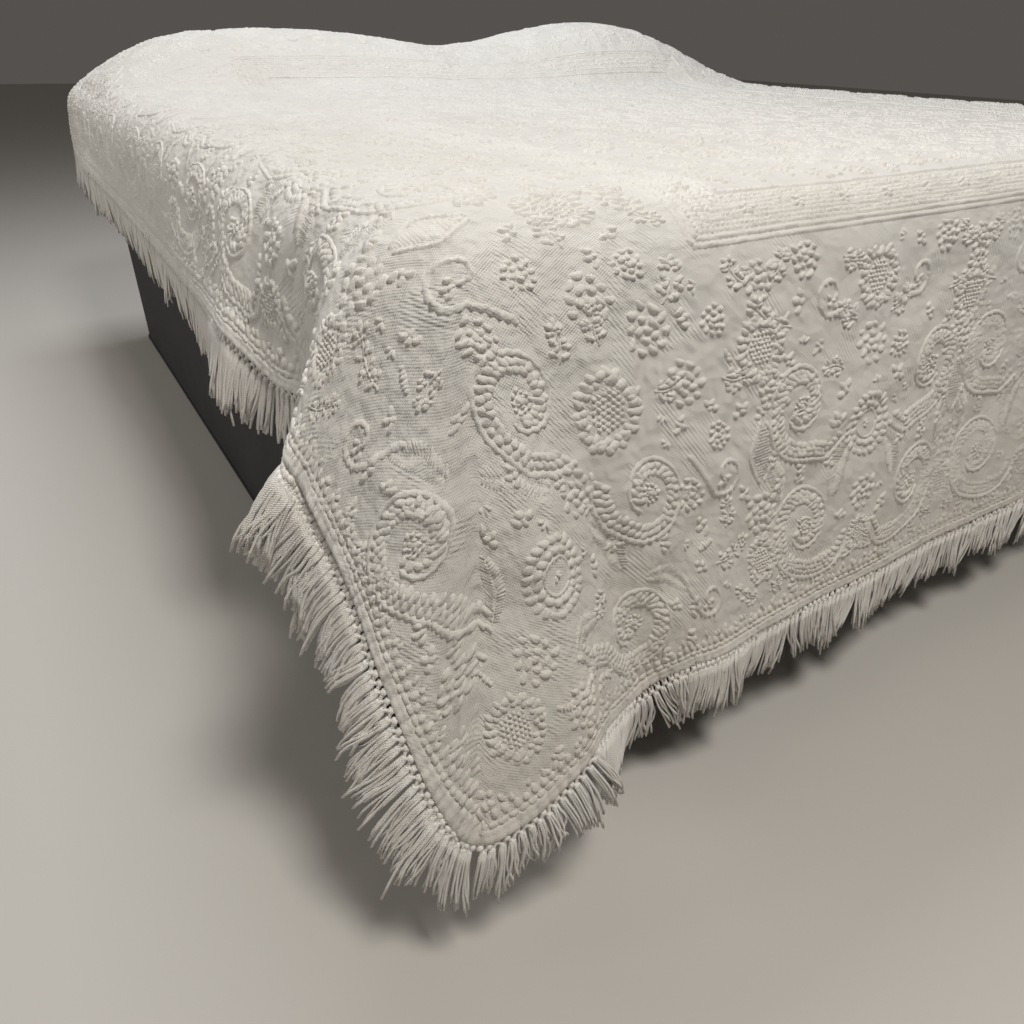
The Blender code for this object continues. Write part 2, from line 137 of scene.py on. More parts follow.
# The same along the right-hand half, with x inward from the bed's right side.
RIGHT_HEM = [HemFold(*row) for row in (
    (-2.55, -0.030, 2.030, -0.146), (-2.15, -0.024, 1.620, -0.160), (-1.85, -0.040, 1.320, -0.184),
    (-1.60, -0.026, 1.065, -0.190), (-1.35, -0.038, 0.815, -0.186), (-1.15, -0.028, 0.612, -0.190),
    (-0.86, -0.052, 0.318, -0.178), (-0.66, -0.030, 0.140, -0.200), (-0.50, -0.084, 0.014, -0.182),
    (-0.40, -0.122, -0.052, -0.184), (-0.30, -0.130, -0.106, -0.242), (-0.18, -0.108, -0.126, -0.346),
    (-0.06, -0.078, -0.129, -0.460), (0.01, -0.046, -0.134, -0.506), (0.10, 0.034, -0.142, -0.494),
    (0.18, 0.094, -0.124, -0.476), (0.30, 0.146, -0.058, -0.510), (0.44, 0.236, -0.090, -0.482),
    (0.55, 0.330, -0.078, -0.488), (0.68, 0.452, -0.084, -0.480), (0.82, 0.590, -0.072, -0.488),
    (1.165, 0.940, -0.074, -0.490),
)]

Rise = namedtuple("Rise", "at height")

# The cloth's height over the pillows, across the bed and as a share of it along the bed.
PILLOWS_ACROSS = [Rise(*row) for row in (
    (0.00, 0.000), (0.05, 0.026), (0.13, 0.068), (0.21, 0.096), (0.33, 0.112), (0.50, 0.118), (0.66, 0.112),
    (0.82, 0.096), (0.98, 0.085), (1.12, 0.098), (1.28, 0.130), (1.44, 0.150), (1.58, 0.143), (1.70, 0.112),
    (1.80, 0.070), (1.87, 0.035), (1.93, 0.000),
)]
PILLOWS_ALONG = [Rise(*row) for row in (
    (1.34, 0.00), (1.44, 0.10), (1.53, 0.50), (1.62, 0.86), (1.74, 1.00), (1.86, 0.98), (1.95, 0.78),
    (2.03, 0.34),
)]


def smooth_between(table, key, at, field):
    """Values of a column on a smooth curve through the table's rows."""
    keys = np.array([getattr(row, key) for row in table])
    values = np.array([getattr(row, field) for row in table])
    slopes = np.empty_like(values)
    slopes[1:-1] = (values[2:] - values[:-2]) / (keys[2:] - keys[:-2])
    slopes[0] = (values[1] - values[0]) / (keys[1] - keys[0])
    slopes[-1] = (values[-1] - values[-2]) / (keys[-1] - keys[-2])
    at = np.clip(at, keys[0], keys[-1])
    low = np.clip(np.searchsorted(keys, at) - 1, 0, len(keys) - 2)
    span = keys[low + 1] - keys[low]
    t = (at - keys[low]) / span
    start = (1 + 2 * t) * (1 - t) ** 2 * values[low] + t * (1 - t) ** 2 * span * slopes[low]
    end = eased(t) * values[low + 1] + t * t * (t - 1) * span * slopes[low + 1]
    return start + end


def eased(share):
    """Shares from 0 to 1 that set out and come in gently."""
    return share * share * (3 - 2 * share)


def hem_point(on_right, run):
    """Hem positions in the bed's frame; a run past the foot's middle goes on along the other half."""
    beyond = run > WHOLE_FOOT / 2
    on_right = on_right ^ beyond
    run = np.where(beyond, WHOLE_FOOT - run, run)
    columns = []
    for field in "xyz":
        left = smooth_between(LEFT_HEM, "run", run, field)
        right = smooth_between(RIGHT_HEM, "run", run, field)
        if field == "x":
            right = BED_WIDTH - right
        columns.append(np.where(on_right, right, left))
    return np.stack(columns, axis=-1)


def hem_over(across, along):
    """Hem positions for points of the flat outline, and the same with no folds."""
    on_right = across > BED_WIDTH / 2
    run = np.minimum(across, BED_WIDTH - across) + SIDE_DROP
    run = np.where(run <= along + FOOT_DROP, -(along + FOOT_DROP), run)
    plain = 0
    for step, weight in enumerate(FOLD_WEIGHTS):
        near = run + (step - len(FOLD_WEIGHTS) // 2) * FOLD_SPREAD
        plain = plain + weight * hem_point(on_right, near) / sum(FOLD_WEIGHTS)
    return hem_point(on_right, run), plain


def pillow_rise(across, along):
    height = np.maximum(smooth_between(PILLOWS_ACROSS, "at", across, "height"), 0.0)
    share = smooth_between(PILLOWS_ALONG, "at", along, "height")
    return np.where(along <= PILLOWS_ALONG[0].at, 0.0, height * share)


def hem_reach(room, speed):
    """How far a hem is, for the directions that go toward it."""
    return np.divide(room, speed, out=np.full(speed.shape, OUT_OF_REACH), where=speed > 0)


def drape(across, along):
    """Places in space of points of the flat cloth, at the middle of its thickness."""
    inner = np.stack([np.clip(across, CORNER_RADIUS, BED_WIDTH - CORNER_RADIUS),
                      np.maximum(along, CORNER_RADIUS)], axis=-1)
    offset = np.stack([across, along], axis=-1) - inner
    reach = np.hypot(offset[..., 0], offset[..., 1])
    heading = offset / np.maximum(reach, 1e-9)[..., None]
    full_reach = np.minimum.reduce([
        hem_reach(inner[..., 0] + SIDE_DROP, -heading[..., 0]),
        hem_reach(BED_WIDTH + SIDE_DROP - inner[..., 0], heading[..., 0]),
        hem_reach(inner[..., 1] + FOOT_DROP, -heading[..., 1]),
    ])
    full_reach = np.where(full_reach >= OUT_OF_REACH, 1.0, full_reach)
    outline = inner + heading * full_reach[..., None]
    rise = np.zeros((*reach.shape, 1))
    edge = np.concatenate([inner + heading * CORNER_RADIUS, rise], axis=-1)
    level = np.concatenate([heading, rise], axis=-1)
    hem, plain = hem_over(outline[..., 0], outline[..., 1])
    past_edge = reach - CORNER_RADIUS
    share = np.maximum(past_edge / (full_reach - CORNER_RADIUS), 0.0)
    fall = (plain - edge) / (full_reach - CORNER_RADIUS)[..., None]
    growth = SIDE_FOLD_GROWTH + (FOOT_FOLD_GROWTH - SIDE_FOLD_GROWTH) * heading[..., 1] ** 2
    folds = (hem - plain) * (share ** growth)[..., None]
    turn = np.clip((past_edge + EDGE_ROUNDING) / (2 * EDGE_ROUNDING), 0.0, 1.0)
    inside = np.where(past_edge < -EDGE_ROUNDING, past_edge, -EDGE_ROUNDING * (1 - turn) ** 2)
    outside = np.where(past_edge > EDGE_ROUNDING, past_edge, EDGE_ROUNDING * turn ** 2)
    place = BED_CORNER + edge + level * inside[..., None] + fall * outside[..., None] + folds
    place[..., 2] += pillow_rise(across, along)
    return place


UP = np.array([0.0, 0.0, 1.0])
DOWN = np.array([0.0, 0.0, -1.0])


def unit(vectors):
    return vectors / np.maximum(np.linalg.norm(vectors, axis=-1, keepdims=True), 1e-12)


NORMAL_STEP = 0.004


def cloth_normal(across, along):
    right = drape(across + NORMAL_STEP, along) - drape(across - NORMAL_STEP, along)
    ahead = drape(across, along + NORMAL_STEP) - drape(across, along - NORMAL_STEP)
    return unit(np.cross(right, ahead))


# Soft creases and dips in the hanging cloth, as lines on the flat cloth: from one end to the
# other, how wide to each side and how high; a negative height is a trough.
Crease = namedtuple("Crease", "x0 y0 x1 y1 width height")
CREASES = [Crease(*row) for row in (
    (0.032, -0.08, -0.045, -0.51, 0.042, 0.007), (0.100, -0.24, 0.125, -0.52, 0.040, -0.007),
    (-0.19, 0.24, -0.01, 0.18, 0.026, -0.006), (-0.18, 0.37, 0.00, 0.32, 0.026, -0.006),
    (0.10, -0.46, 0.30, -0.30, 0.030, -0.004), (0.16, -0.36, 0.42, -0.22, 0.026, 0.003),
    (0.34, -0.40, 0.60, -0.26, 0.040, -0.005), (0.52, -0.18, 0.74, -0.10, 0.030, -0.003),
    (0.44, -0.30, 0.70, -0.20, 0.030, 0.003), (0.70, -0.42, 0.95, -0.28, 0.045, -0.004),
    (0.95, -0.20, 1.25, -0.12, 0.040, -0.003), (1.20, -0.40, 1.42, -0.30, 0.045, 0.004),
    (1.50, -0.24, 1.70, -0.36, 0.040, -0.004), (1.80, -0.10, 1.96, -0.34, 0.030, -0.004),
    (-0.12, -0.10, -0.02, -0.30, 0.024, 0.003), (-0.16, 0.16, 0.02, 0.10, 0.030, -0.004),
    (-0.14, 0.30, 0.00, 0.24, 0.030, 0.003), (-0.14, 0.62, 0.03, 0.58, 0.034, -0.003),
    (-0.15, 1.10, 0.02, 1.04, 0.036, -0.003), (-0.14, 1.52, 0.04, 1.48, 0.036, 0.003),
    (1.92, 0.52, 2.08, 0.60, 0.036, -0.003), (1.90, 1.02, 2.06, 1.10, 0.034, 0.003),
    (0.14, 1.46, 0.60, 1.40, 0.040, -0.004), (0.80, 1.40, 1.00, 1.70, 0.040, -0.003),
    (1.10, 1.40, 1.60, 1.44, 0.040, -0.004),
)]


SWELL_HANGING = 0.0034       # soft unevenness of the hanging parts, and of the top
SWELL_TOP = 0.0014
PUCKER_WIDE = 0.0011         # unevenness of the ground between raised parts, over wide and narrow cells
PUCKER_NARROW = 0.0006


def soft_swell(across, along):
    """The broad unevenness of a heavy cloth: long soft swells, stronger where it hangs."""
    past_side = np.maximum(-across, across - BED_WIDTH)
    hanging = np.clip((np.maximum(past_side, -along) + 0.05) / 0.15, 0.0, 1.0)
    amount = SWELL_TOP + (SWELL_HANGING - SWELL_TOP) * hanging
    wide = soft_noise(across * 0.8 + along * 0.35 + 0.9, along - across * 0.3, 0.14, 7)
    narrow = soft_noise(across + along * 0.5, along + 0.4, 0.070, 8)
    return amount * (wide + 0.45 * narrow)


def crease_height(across, along):
    """The swells and creases together."""
    total = soft_swell(across, along)
    for crease in CREASES:
        way = np.array([crease.x1 - crease.x0, crease.y1 - crease.y0])
        length = np.hypot(*way)
        way = way / length
        rel_x, rel_y = across - crease.x0, along - crease.y0
        run = (rel_x * way[0] + rel_y * way[1]) / length
        off = (rel_y * way[0] - rel_x * way[1]) / crease.width
        ends = eased(np.clip(np.minimum(run, 1 - run) * 4 + 0.5, 0.0, 1.0))
        total += crease.height * ends * np.exp(-off * off * 2)
    return total


def soft_noise(x, y, size, seed):
    """Smooth random heights from -1 to 1 over cells of a given size."""
    table = np.random.default_rng(seed).uniform(-1, 1, (64, 64))
    column, row = np.floor(x / size).astype(int), np.floor(y / size).astype(int)
    s, t = eased(x / size - column), eased(y / size - row)
    corners = [table[(row + j) % 64, (column + i) % 64] for j in (0, 1) for i in (0, 1)]
    low = corners[0] * (1 - s) + corners[1] * s
    high = corners[2] * (1 - s) + corners[3] * s
    return low * (1 - t) + high * t


def along_noise(run, size, seed, lane=0.37):
    """Smooth random heights along a line; the lane keeps lines with different seeds apart."""
    return soft_noise(run, np.zeros_like(run) + seed * lane, size, seed)


def pucker_height(across, along):
    """The small unevenness of the ground where the raised parts draw it up."""
    wide = soft_noise(across, along, 0.055, 11)
    narrow = soft_noise(across + 0.3, along, 0.030, 12)
    return PUCKER_WIDE * wide + PUCKER_NARROW * narrow


def on_cloth(across, along, height):
    """Places in space at a height above the cloth's upper face."""
    across, along = np.asarray(across, float), np.asarray(along, float)
    lift = CLOTH_THICKNESS / 2 + crease_height(across, along) + pucker_height(across, along)
    return drape(across, along) + cloth_normal(across, along) * (lift + height)[..., None]


# ------------------------------------------------------------------ making mesh pieces
TUBE_SPAN = 0.004            # length of a tube that counts as one turn in its flat place


def make_piece(name, points, faces, material, flat=None):
    """A mesh piece that rides on the bed; flat gives each point's place on the flat cloth."""
    mesh = bpy.data.meshes.new(name)
    mesh.from_pydata(np.asarray(points).tolist(), [], faces)
    if flat is not None:
        corner_point = np.empty(len(mesh.loops), dtype=np.int32)
        mesh.loops.foreach_get("vertex_index", corner_point)
        layer = mesh.uv_layers.new(name="flat_cloth")
        layer.data.foreach_set("uv", np.asarray(flat)[corner_point].astype(np.float32).ravel())
    mesh.shade_smooth()
    mesh.materials.append(material)
    piece = bpy.data.objects.new(name, mesh)
    bpy.context.scene.collection.objects.link(piece)
    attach(piece, "root")
    return piece


class MeshParts:
    """Joins several meshes, each of points, flat places and arrays of faces, into one piece."""

    def __init__(self):
        self.points, self.flats, self.faces, self.start = [], [], [], 0

    def add(self, points, flats, *face_arrays):
        self.points.append(points.reshape(-1, 3))
        self.flats.append(flats.reshape(-1, 2))
        for faces in face_arrays:
            self.faces += (faces + self.start).tolist()
        self.start += points.size // 3

    def make(self, name, material, slot):
        return make_piece(name, np.concatenate(self.points), self.faces, material,
                          np.concatenate(self.flats))


def grid_quads(number):
    """Quads between the numbered points of a grid."""
    quads = np.stack([number[:-1, :-1], number[:-1, 1:], number[1:, 1:], number[1:, :-1]], axis=-1)
    return quads.reshape(-1, 4)


def ring_quads(here, there):
    """Quads between closed rings of numbered points and the rings after them."""
    quads = np.stack([here, np.roll(here, -1, -1), np.roll(there, -1, -1), there], axis=-1)
    return quads.reshape(-1, 4)


def tube_mesh(paths, side_axis, radius, sides, closed=True):
    """Thin tubes along many paths at once; their flat places run round and along them."""
    way = unit(np.gradient(paths, axis=1))
    first = unit(side_axis - way * np.sum(side_axis * way, axis=-1, keepdims=True))
    second = np.cross(way, first)
    turns = np.arange(sides) / sides
    angles = 2 * math.pi * np.arange(sides) / sides
    ring = first[:, :, None, :] * np.cos(angles)[:, None] + second[:, :, None, :] * np.sin(angles)[:, None]
    points = paths[:, :, None, :] + ring * np.broadcast_to(radius, paths.shape[:2])[..., None, None]
    run = np.cumsum(np.linalg.norm(np.diff(paths, axis=1, prepend=paths[:, :1]), axis=-1), axis=1)
    flats = np.stack(np.broadcast_arrays(turns[None, None, :], run[:, :, None] / TUBE_SPAN), axis=-1)
    number = np.arange(points.size // 3).reshape(points.shape[:3])
    ends = [number[:, -1], number[:, 0, ::-1]] if closed else []
    return points, flats, ring_quads(number[:, :-1], number[:, 1:]), *ends


# ------------------------------------------------------------------ materials
def new_material(name, roughness, sheen):
    material = bpy.data.materials.new(name)
    material.use_nodes = True
    shader = material.node_tree.nodes["Principled BSDF"]
    shader.inputs["Roughness"].default_value = roughness
    shader.inputs["Specular IOR Level"].default_value = 0.25
    shader.inputs["Sheen Weight"].default_value = sheen
    shader.inputs["Sheen Roughness"].default_value = 0.5
    return material, shader


class Nodes:
    """A material's shader nodes, with short ways to add and join them."""

    def __init__(self, name, roughness, sheen):
        self.material, self.shader = new_material(name, roughness, sheen)
        self.tree = self.material.node_tree

    def put(self, socket, value):
        """Gives a socket a constant, or joins another node's output into it."""
        if isinstance(value, bpy.types.NodeSocket):
            self.tree.links.new(value, socket)
        else:
            socket.default_value = value

    def add(self, kind, inputs, **settings):
        node = self.tree.nodes.new(kind)
        for name, value in settings.items():
            setattr(node, name, value)
        for name, value in inputs.items():
            self.put(node.inputs[name], value)
        return node

    def math(self, operation, *values):
        return self.add("ShaderNodeMath", dict(enumerate(values)), operation=operation).outputs[0]

    def weighted(self, *terms):
        """The sum of values, each times its weight."""
        total = 0.0
        for value, weight in terms:
            total = self.math("ADD", total, self.math("MULTIPLY", value, weight))
        return total

    def clamp(self, value):
        return self.math("MINIMUM", self.math("MAXIMUM", value, 0.0), 1.0)

    def flat_place(self, turn=0.0):
        """The flat cloth's coordinates in metres, turned by an angle in degrees."""
        place = self.add("ShaderNodeUVMap", {}, uv_map="flat_cloth").outputs[0]
        rotation = (0, 0, math.radians(turn))
        return self.add("ShaderNodeMapping", {"Vector": place, "Rotation": rotation}).outputs[0]

    def space_place(self):
        return self.add("ShaderNodeTexCoord", {}).outputs["Object"]

    def noise(self, place, scale, detail):
        values = {"Vector": place, "Scale": scale, "Detail": detail, "Roughness": 0.55}
        return self.add("ShaderNodeTexNoise", values).outputs["Fac"]

    def axis(self, place, number):
        return self.add("ShaderNodeSeparateXYZ", {0: place}).outputs[number]

    def stripes(self, place, pitch, axis=0):
        """A smooth wave from 0 to 1 along an axis of the place, one for each pitch."""
        wave = self.math("SINE", self.math("MULTIPLY", self.axis(place, axis), 2 * math.pi / pitch))
        return self.math("MULTIPLY_ADD", wave, 0.5, 0.5)

    def ramp(self, value, low, low_color, high, high_color):
        node = self.add("ShaderNodeValToRGB", {0: value})
        for stop, position, color in zip(node.color_ramp.elements, (low, high), (low_color, high_color)):
            stop.position, stop.color = position, (*color, 1)
        return node.outputs[0]

    def mix(self, factor, first, second, blend="MIX"):
        values = {"Factor": factor, "A": first, "B": (*second, 1)}
        return self.add("ShaderNodeMix", values, data_type="RGBA", blend_type=blend).outputs["Result"]

    def bump(self, height, distance, before=None, strength=1.0):
        """Bump of a real height, on top of another bump where one is given."""
        values = {"Strength": strength, "Distance": distance, "Height": height}
        if before is not None:
            values["Normal"] = before
        normal = self.add("ShaderNodeBump", values).outputs[0]
        self.put(self.shader.inputs["Normal"], normal)
        return normal

    def color(self, color):
        self.put(self.shader.inputs["Base Color"], color)


COTTON_LIGHT = (0.83, 0.81, 0.775)
COTTON_MIDDLE = (0.79, 0.765, 0.725)
# a darker tan that paints warm shade on the cloth toward the foot's hem
PAINTED_SHADE_TAN = (0.66, 0.575, 0.475)
HOLLOW_SHADE = (0.30, 0.27, 0.24)
YARN_DARK = (0.90, 0.865, 0.815)
YARN_LIGHT = (0.95, 0.925, 0.885)
WARM_SHADE_REACH = 0.36            # how far up from the hem at the foot the cloth gets painted warm shade, and how much
WARM_SHADE_SHARE = 0.62
TWILL_PITCH = 0.0023         # turns in degrees
TWILL_TURN = 58
COUNTER_TURN = -52
RIBBED_PITCH = 0.0046        # coarser ribs on patches of the ground
RIBBED_TURN = -34
RUMPLE_DEPTH = 0.0085
CRINKLE_DEPTH = 0.0020


def cotton_material(name, weave_depth):
    """Warm white cotton with a fine twill and patches of coarser ribs, with painted warm shade toward the
    foot's hem.
    """
    nodes = Nodes(name, roughness=0.92, sheen=0.15)
    flat = nodes.flat_place()
    clean = nodes.ramp(nodes.noise(flat, 5.0, 4.0), 0.30, COTTON_MIDDLE, 0.62, COTTON_LIGHT)
    # painted shade: the colour turns unevenly darker and tan toward the hem at the foot, where the hanging
    # cloth lies in shade
    from_foot = nodes.math("ADD", nodes.axis(flat, 1), FOOT_DROP)
    near_hem = nodes.clamp(nodes.math("SUBTRACT", 1.0, nodes.math("DIVIDE", from_foot, WARM_SHADE_REACH)))
    uneven = nodes.math("MULTIPLY", nodes.noise(flat, 14.0, 3.0), WARM_SHADE_SHARE)
    with_warm_shade = nodes.mix(nodes.math("MULTIPLY", near_hem, uneven), clean, PAINTED_SHADE_TAN)
    rows = nodes.stripes(nodes.flat_place(TWILL_TURN), TWILL_PITCH)
    counter = nodes.stripes(nodes.flat_place(COUNTER_TURN), TWILL_PITCH * 1.2)
    ribs = nodes.stripes(nodes.flat_place(RIBBED_TURN), RIBBED_PITCH)
    patches = nodes.math("MULTIPLY", nodes.math("SUBTRACT", nodes.noise(flat, 15.0, 1.0), 0.53), 14.0)
    ribbed = nodes.math("MULTIPLY", ribs, nodes.clamp(patches))
    weave = nodes.weighted((rows, 1.0), (counter, 0.55), (nodes.noise(flat, 700.0, 2.0), 0.9), (ribbed, 1.3))
    hollow = nodes.math("MULTIPLY", nodes.math("SUBTRACT", 1.6, weave), 0.10)
    nodes.color(nodes.mix(hollow, with_warm_shade, HOLLOW_SHADE, "MULTIPLY"))
    rumple = nodes.bump(nodes.noise(flat, 24.0, 2.0), RUMPLE_DEPTH)
    crinkle = nodes.bump(nodes.noise(flat, 95.0, 3.0), CRINKLE_DEPTH, rumple)
    nodes.bump(weave, weave_depth, crinkle)
    return nodes.material


def yarn_material():
    """Two-ply cotton yarn; its own coordinates run round it and along it."""
    nodes = Nodes("yarn", roughness=0.9, sheen=0.2)
    shade = nodes.noise(nodes.space_place(), 60.0, 3.0)
    nodes.color(nodes.ramp(shade, 0.30, YARN_DARK, 0.65, YARN_LIGHT))
    twist = nodes.stripes(nodes.flat_place(40), 0.35)
    fuzz = nodes.noise(nodes.flat_place(), 8.0, 2.0)
    nodes.bump(nodes.math("ADD", twist, fuzz), 0.0006, strength=0.8)
    return nodes.material


def woven_material(name, dark, light, pitch, depth):
    """A plain woven fabric in the object's own coordinates, threads both ways."""
    nodes = Nodes(name, roughness=0.9, sheen=0.1)
    place = nodes.space_place()
    nodes.color(nodes.ramp(nodes.noise(place, 9.0, 5.0), 0.30, dark, 0.70, light))
    across, ahead, upward = (nodes.stripes(place, pitch, axis) for axis in range(3))
    weave = nodes.math("ADD", nodes.math("MULTIPLY", across, ahead), upward)
    nodes.bump(nodes.math("ADD", weave, nodes.noise(place, 420.0, 2.0)), depth)
    return nodes.material


GROUND = cotton_material("cotton_ground", 0.00034)
RAISED = cotton_material("cotton_raised", 0.00014)
YARN = yarn_material()

# ------------------------------------------------------------------ the sheet
Step = namedtuple("Step", "to count")
ACROSS_STEPS = [Step(*row) for row in (
    (0.085, 26), (0.62, 42), (1.40, 44), (1.845, 30), (BED_WIDTH + SIDE_DROP, 23),
)]
ALONG_STEPS = [Step(*row) for row in (
    (0.085, 54), (0.505, 30), (1.34, 44), (BED_LENGTH, 44),
)]


def grid_lines(start, steps):
    lines = [start]
    for step in steps:
        first = lines[-1]
        lines += [first + (step.to - first) * n / step.count for n in range(1, step.count + 1)]
    return np.array(lines)


def make_sheet():
    """The cloth itself: an upper and an under face, joined by a wall round its rim."""
    across, along = np.meshgrid(grid_lines(-SIDE_DROP, ACROSS_STEPS),
                                grid_lines(-FOOT_DROP, ALONG_STEPS))
    upper = on_cloth(across, along, np.zeros_like(across))
    drawn = crease_height(across, along) - CLOTH_THICKNESS / 2
    under = drape(across, along) + cloth_normal(across, along) * drawn[..., None]
    number = np.arange(across.size).reshape(across.shape)
    quads = grid_quads(number)
    rim = np.concatenate([number[0, :], number[1:, -1], number[-1, -2::-1], number[-2:0:-1, 0]])
    onward = np.roll(rim, -1)
    walls = np.stack([onward, rim, rim + across.size, onward + across.size], axis=-1)
    cloth = MeshParts()
    cloth.add(np.stack([upper, under]), np.stack([np.stack([across, along], axis=-1)] * 2),
              quads, quads[:, ::-1] + across.size, walls)
    piece = cloth.make("bedspread_cloth", GROUND, "cotton")
    piece.data.set_sharp_from_angle(angle=math.radians(60))
    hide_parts("bedspread")
    return piece


# ------------------------------------------------------------------ raised pattern
# A pad is a small puffed shape on the cloth: a low dome over an outline, given as points
# (along, across, height) in shares of the pad's size, rim first. A rope is a long ridge with
# slanted dents.
RIM_DEPTH = -0.0009          # the rim of a raised part lies this far under the cloth's face
PUFF = 0.92                  # how full the padding is
FINE_REACH = 0.80            # pads farther than this from the near corner of the bed are simpler
PAD_DRIFT = 0.0004           # how far chance moves, turns, lengthens and raises a pad
PAD_SWAY = 0.17
RIDGE_SWAY = 0.05
LENGTH_SPREAD = 0.10
HEIGHT_SPREAD = 0.18
SCALE_LENGTH = 0.0158
SCALE_WIDTH = 0.0106
SCALE_HEIGHT = 0.0026
SCALE_PITCH = 0.0092         # scales along a row, and rows beside each other
SCALE_ROW = 0.0078
ROPE = 0.0102                # a rope's usual width, spacing of its dents and height
ROPE_PITCH = 0.0086
ROPE_HEIGHT = 0.0033
ROPE_SLANT = 0.6
ROPE_DENT = 0.34             # share of the height that is left in a dent
ROPE_ACROSS = np.array([-1.0, -0.52, 0.52, 1.0])
ROPE_RISE = np.array([0.0, 1.0, 1.0, 0.0])


def dome(outline, waist, shoulder):
    """Rings of a dome: the outline, a narrower ring near the top, and the middle."""
    rim = [(x, y, 0.0) for x, y in outline]
    ring = [(x * waist, y * waist, shoulder) for x, y in outline]
    return rim + ring + [(0.0, 0.0, 1.0)]


def dome_faces(count):
    faces = []
    for i in range(count):
        after = (i + 1) % count
        faces.append((i, after, count + after))
        faces.append((i, count + after, count + i))
        faces.append((count + i, count + after, 2 * count))
    return faces


def round_outline(count, pinch=0.0, square=1.0):
    """An oval outline; pinch draws in its far end, square above 1 fills out its corners."""
    outline = []
    for i in range(count):
        angle = 2 * math.pi * (i + 0.5) / count
        x, y = math.cos(angle), math.sin(angle)
        x = math.copysign(abs(x) ** (1 / square), x)
        y = math.copysign(abs(y) ** (1 / square), y)
        outline.append((x, y * (1 - pinch * (x + 1) / 2)))
    return outline


def bent(outline, bend):
    """An outline whose two ends curve to one side."""
    return [(x, y * (1 - 0.30 * abs(x)) + bend * (x * x - 0.4)) for x, y in outline]


RIDGE_POINTS = [(-1.0, 0.0, 0.0), (-0.8, -1.0, 0.0), (0.8, -1.0, 0.0), (1.0, 0.0, 0.0),
                (0.8, 1.0, 0.0), (-0.8, 1.0, 0.0), (-0.72, 0.0, 1.0), (0.72, 0.0, 1.0)]
RIDGE_FACES = [(0, 1, 6), (1, 2, 7), (1, 7, 6), (2, 3, 7), (3, 4, 7), (4, 5, 6), (4, 6, 7), (5, 0, 6)]

SCALE_BEND = 0.34
WEFT_LEAN = 0.50             # scales turn toward the weft: this share of their own angle is left

PadKind = namedtuple("PadKind", "points faces")
PLAIN_POINTS = [(-1.0, 0.0, 0.0), (-0.5, -0.95, 0.0), (0.6, -0.8, 0.0), (1.0, 0.0, 0.0),
                (0.6, 0.8, 0.0), (-0.5, 0.95, 0.0), (-0.42, 0.0, 1.0), (0.46, 0.0, 0.92)]
PAD_KINDS = {
    "grain": PadKind(dome(round_outline(6), 0.64, 0.84), dome_faces(6)),
    "scale": PadKind(dome(bent(round_outline(8, square=1.15), SCALE_BEND), 0.70, 0.80), dome_faces(8)),
    "petal": PadKind(dome(round_outline(7, pinch=0.22), 0.70, 0.80), dome_faces(7)),
    "block": PadKind(dome(round_outline(8, square=1.9), 0.76, 0.90), dome_faces(8)),
    "ridge": PadKind(RIDGE_POINTS, RIDGE_FACES),
    "plain": PadKind(PLAIN_POINTS, RIDGE_FACES),
}


def polar(reach, angle):
    return reach * math.cos(angle), reach * math.sin(angle)


def round_about(count):
    """Angles evenly spaced round a full turn."""
    return [2 * math.pi * n / count for n in range(count)]


def turned(turn, size=1.0, mirror=False):
    """The matrix of a turn in degrees, a size and a mirroring."""
    angle, side = math.radians(turn), -1.0 if mirror else 1.0
    return size * np.array([[math.cos(angle), -math.sin(angle) * side],
                            [math.sin(angle), math.cos(angle) * side]])


def measured(points):
    """Points as an array, and how far along their line each one is."""
    points = np.asarray(points, float)
    return points, np.concatenate([[0.0], np.cumsum(np.hypot(*np.diff(points, axis=0).T))])


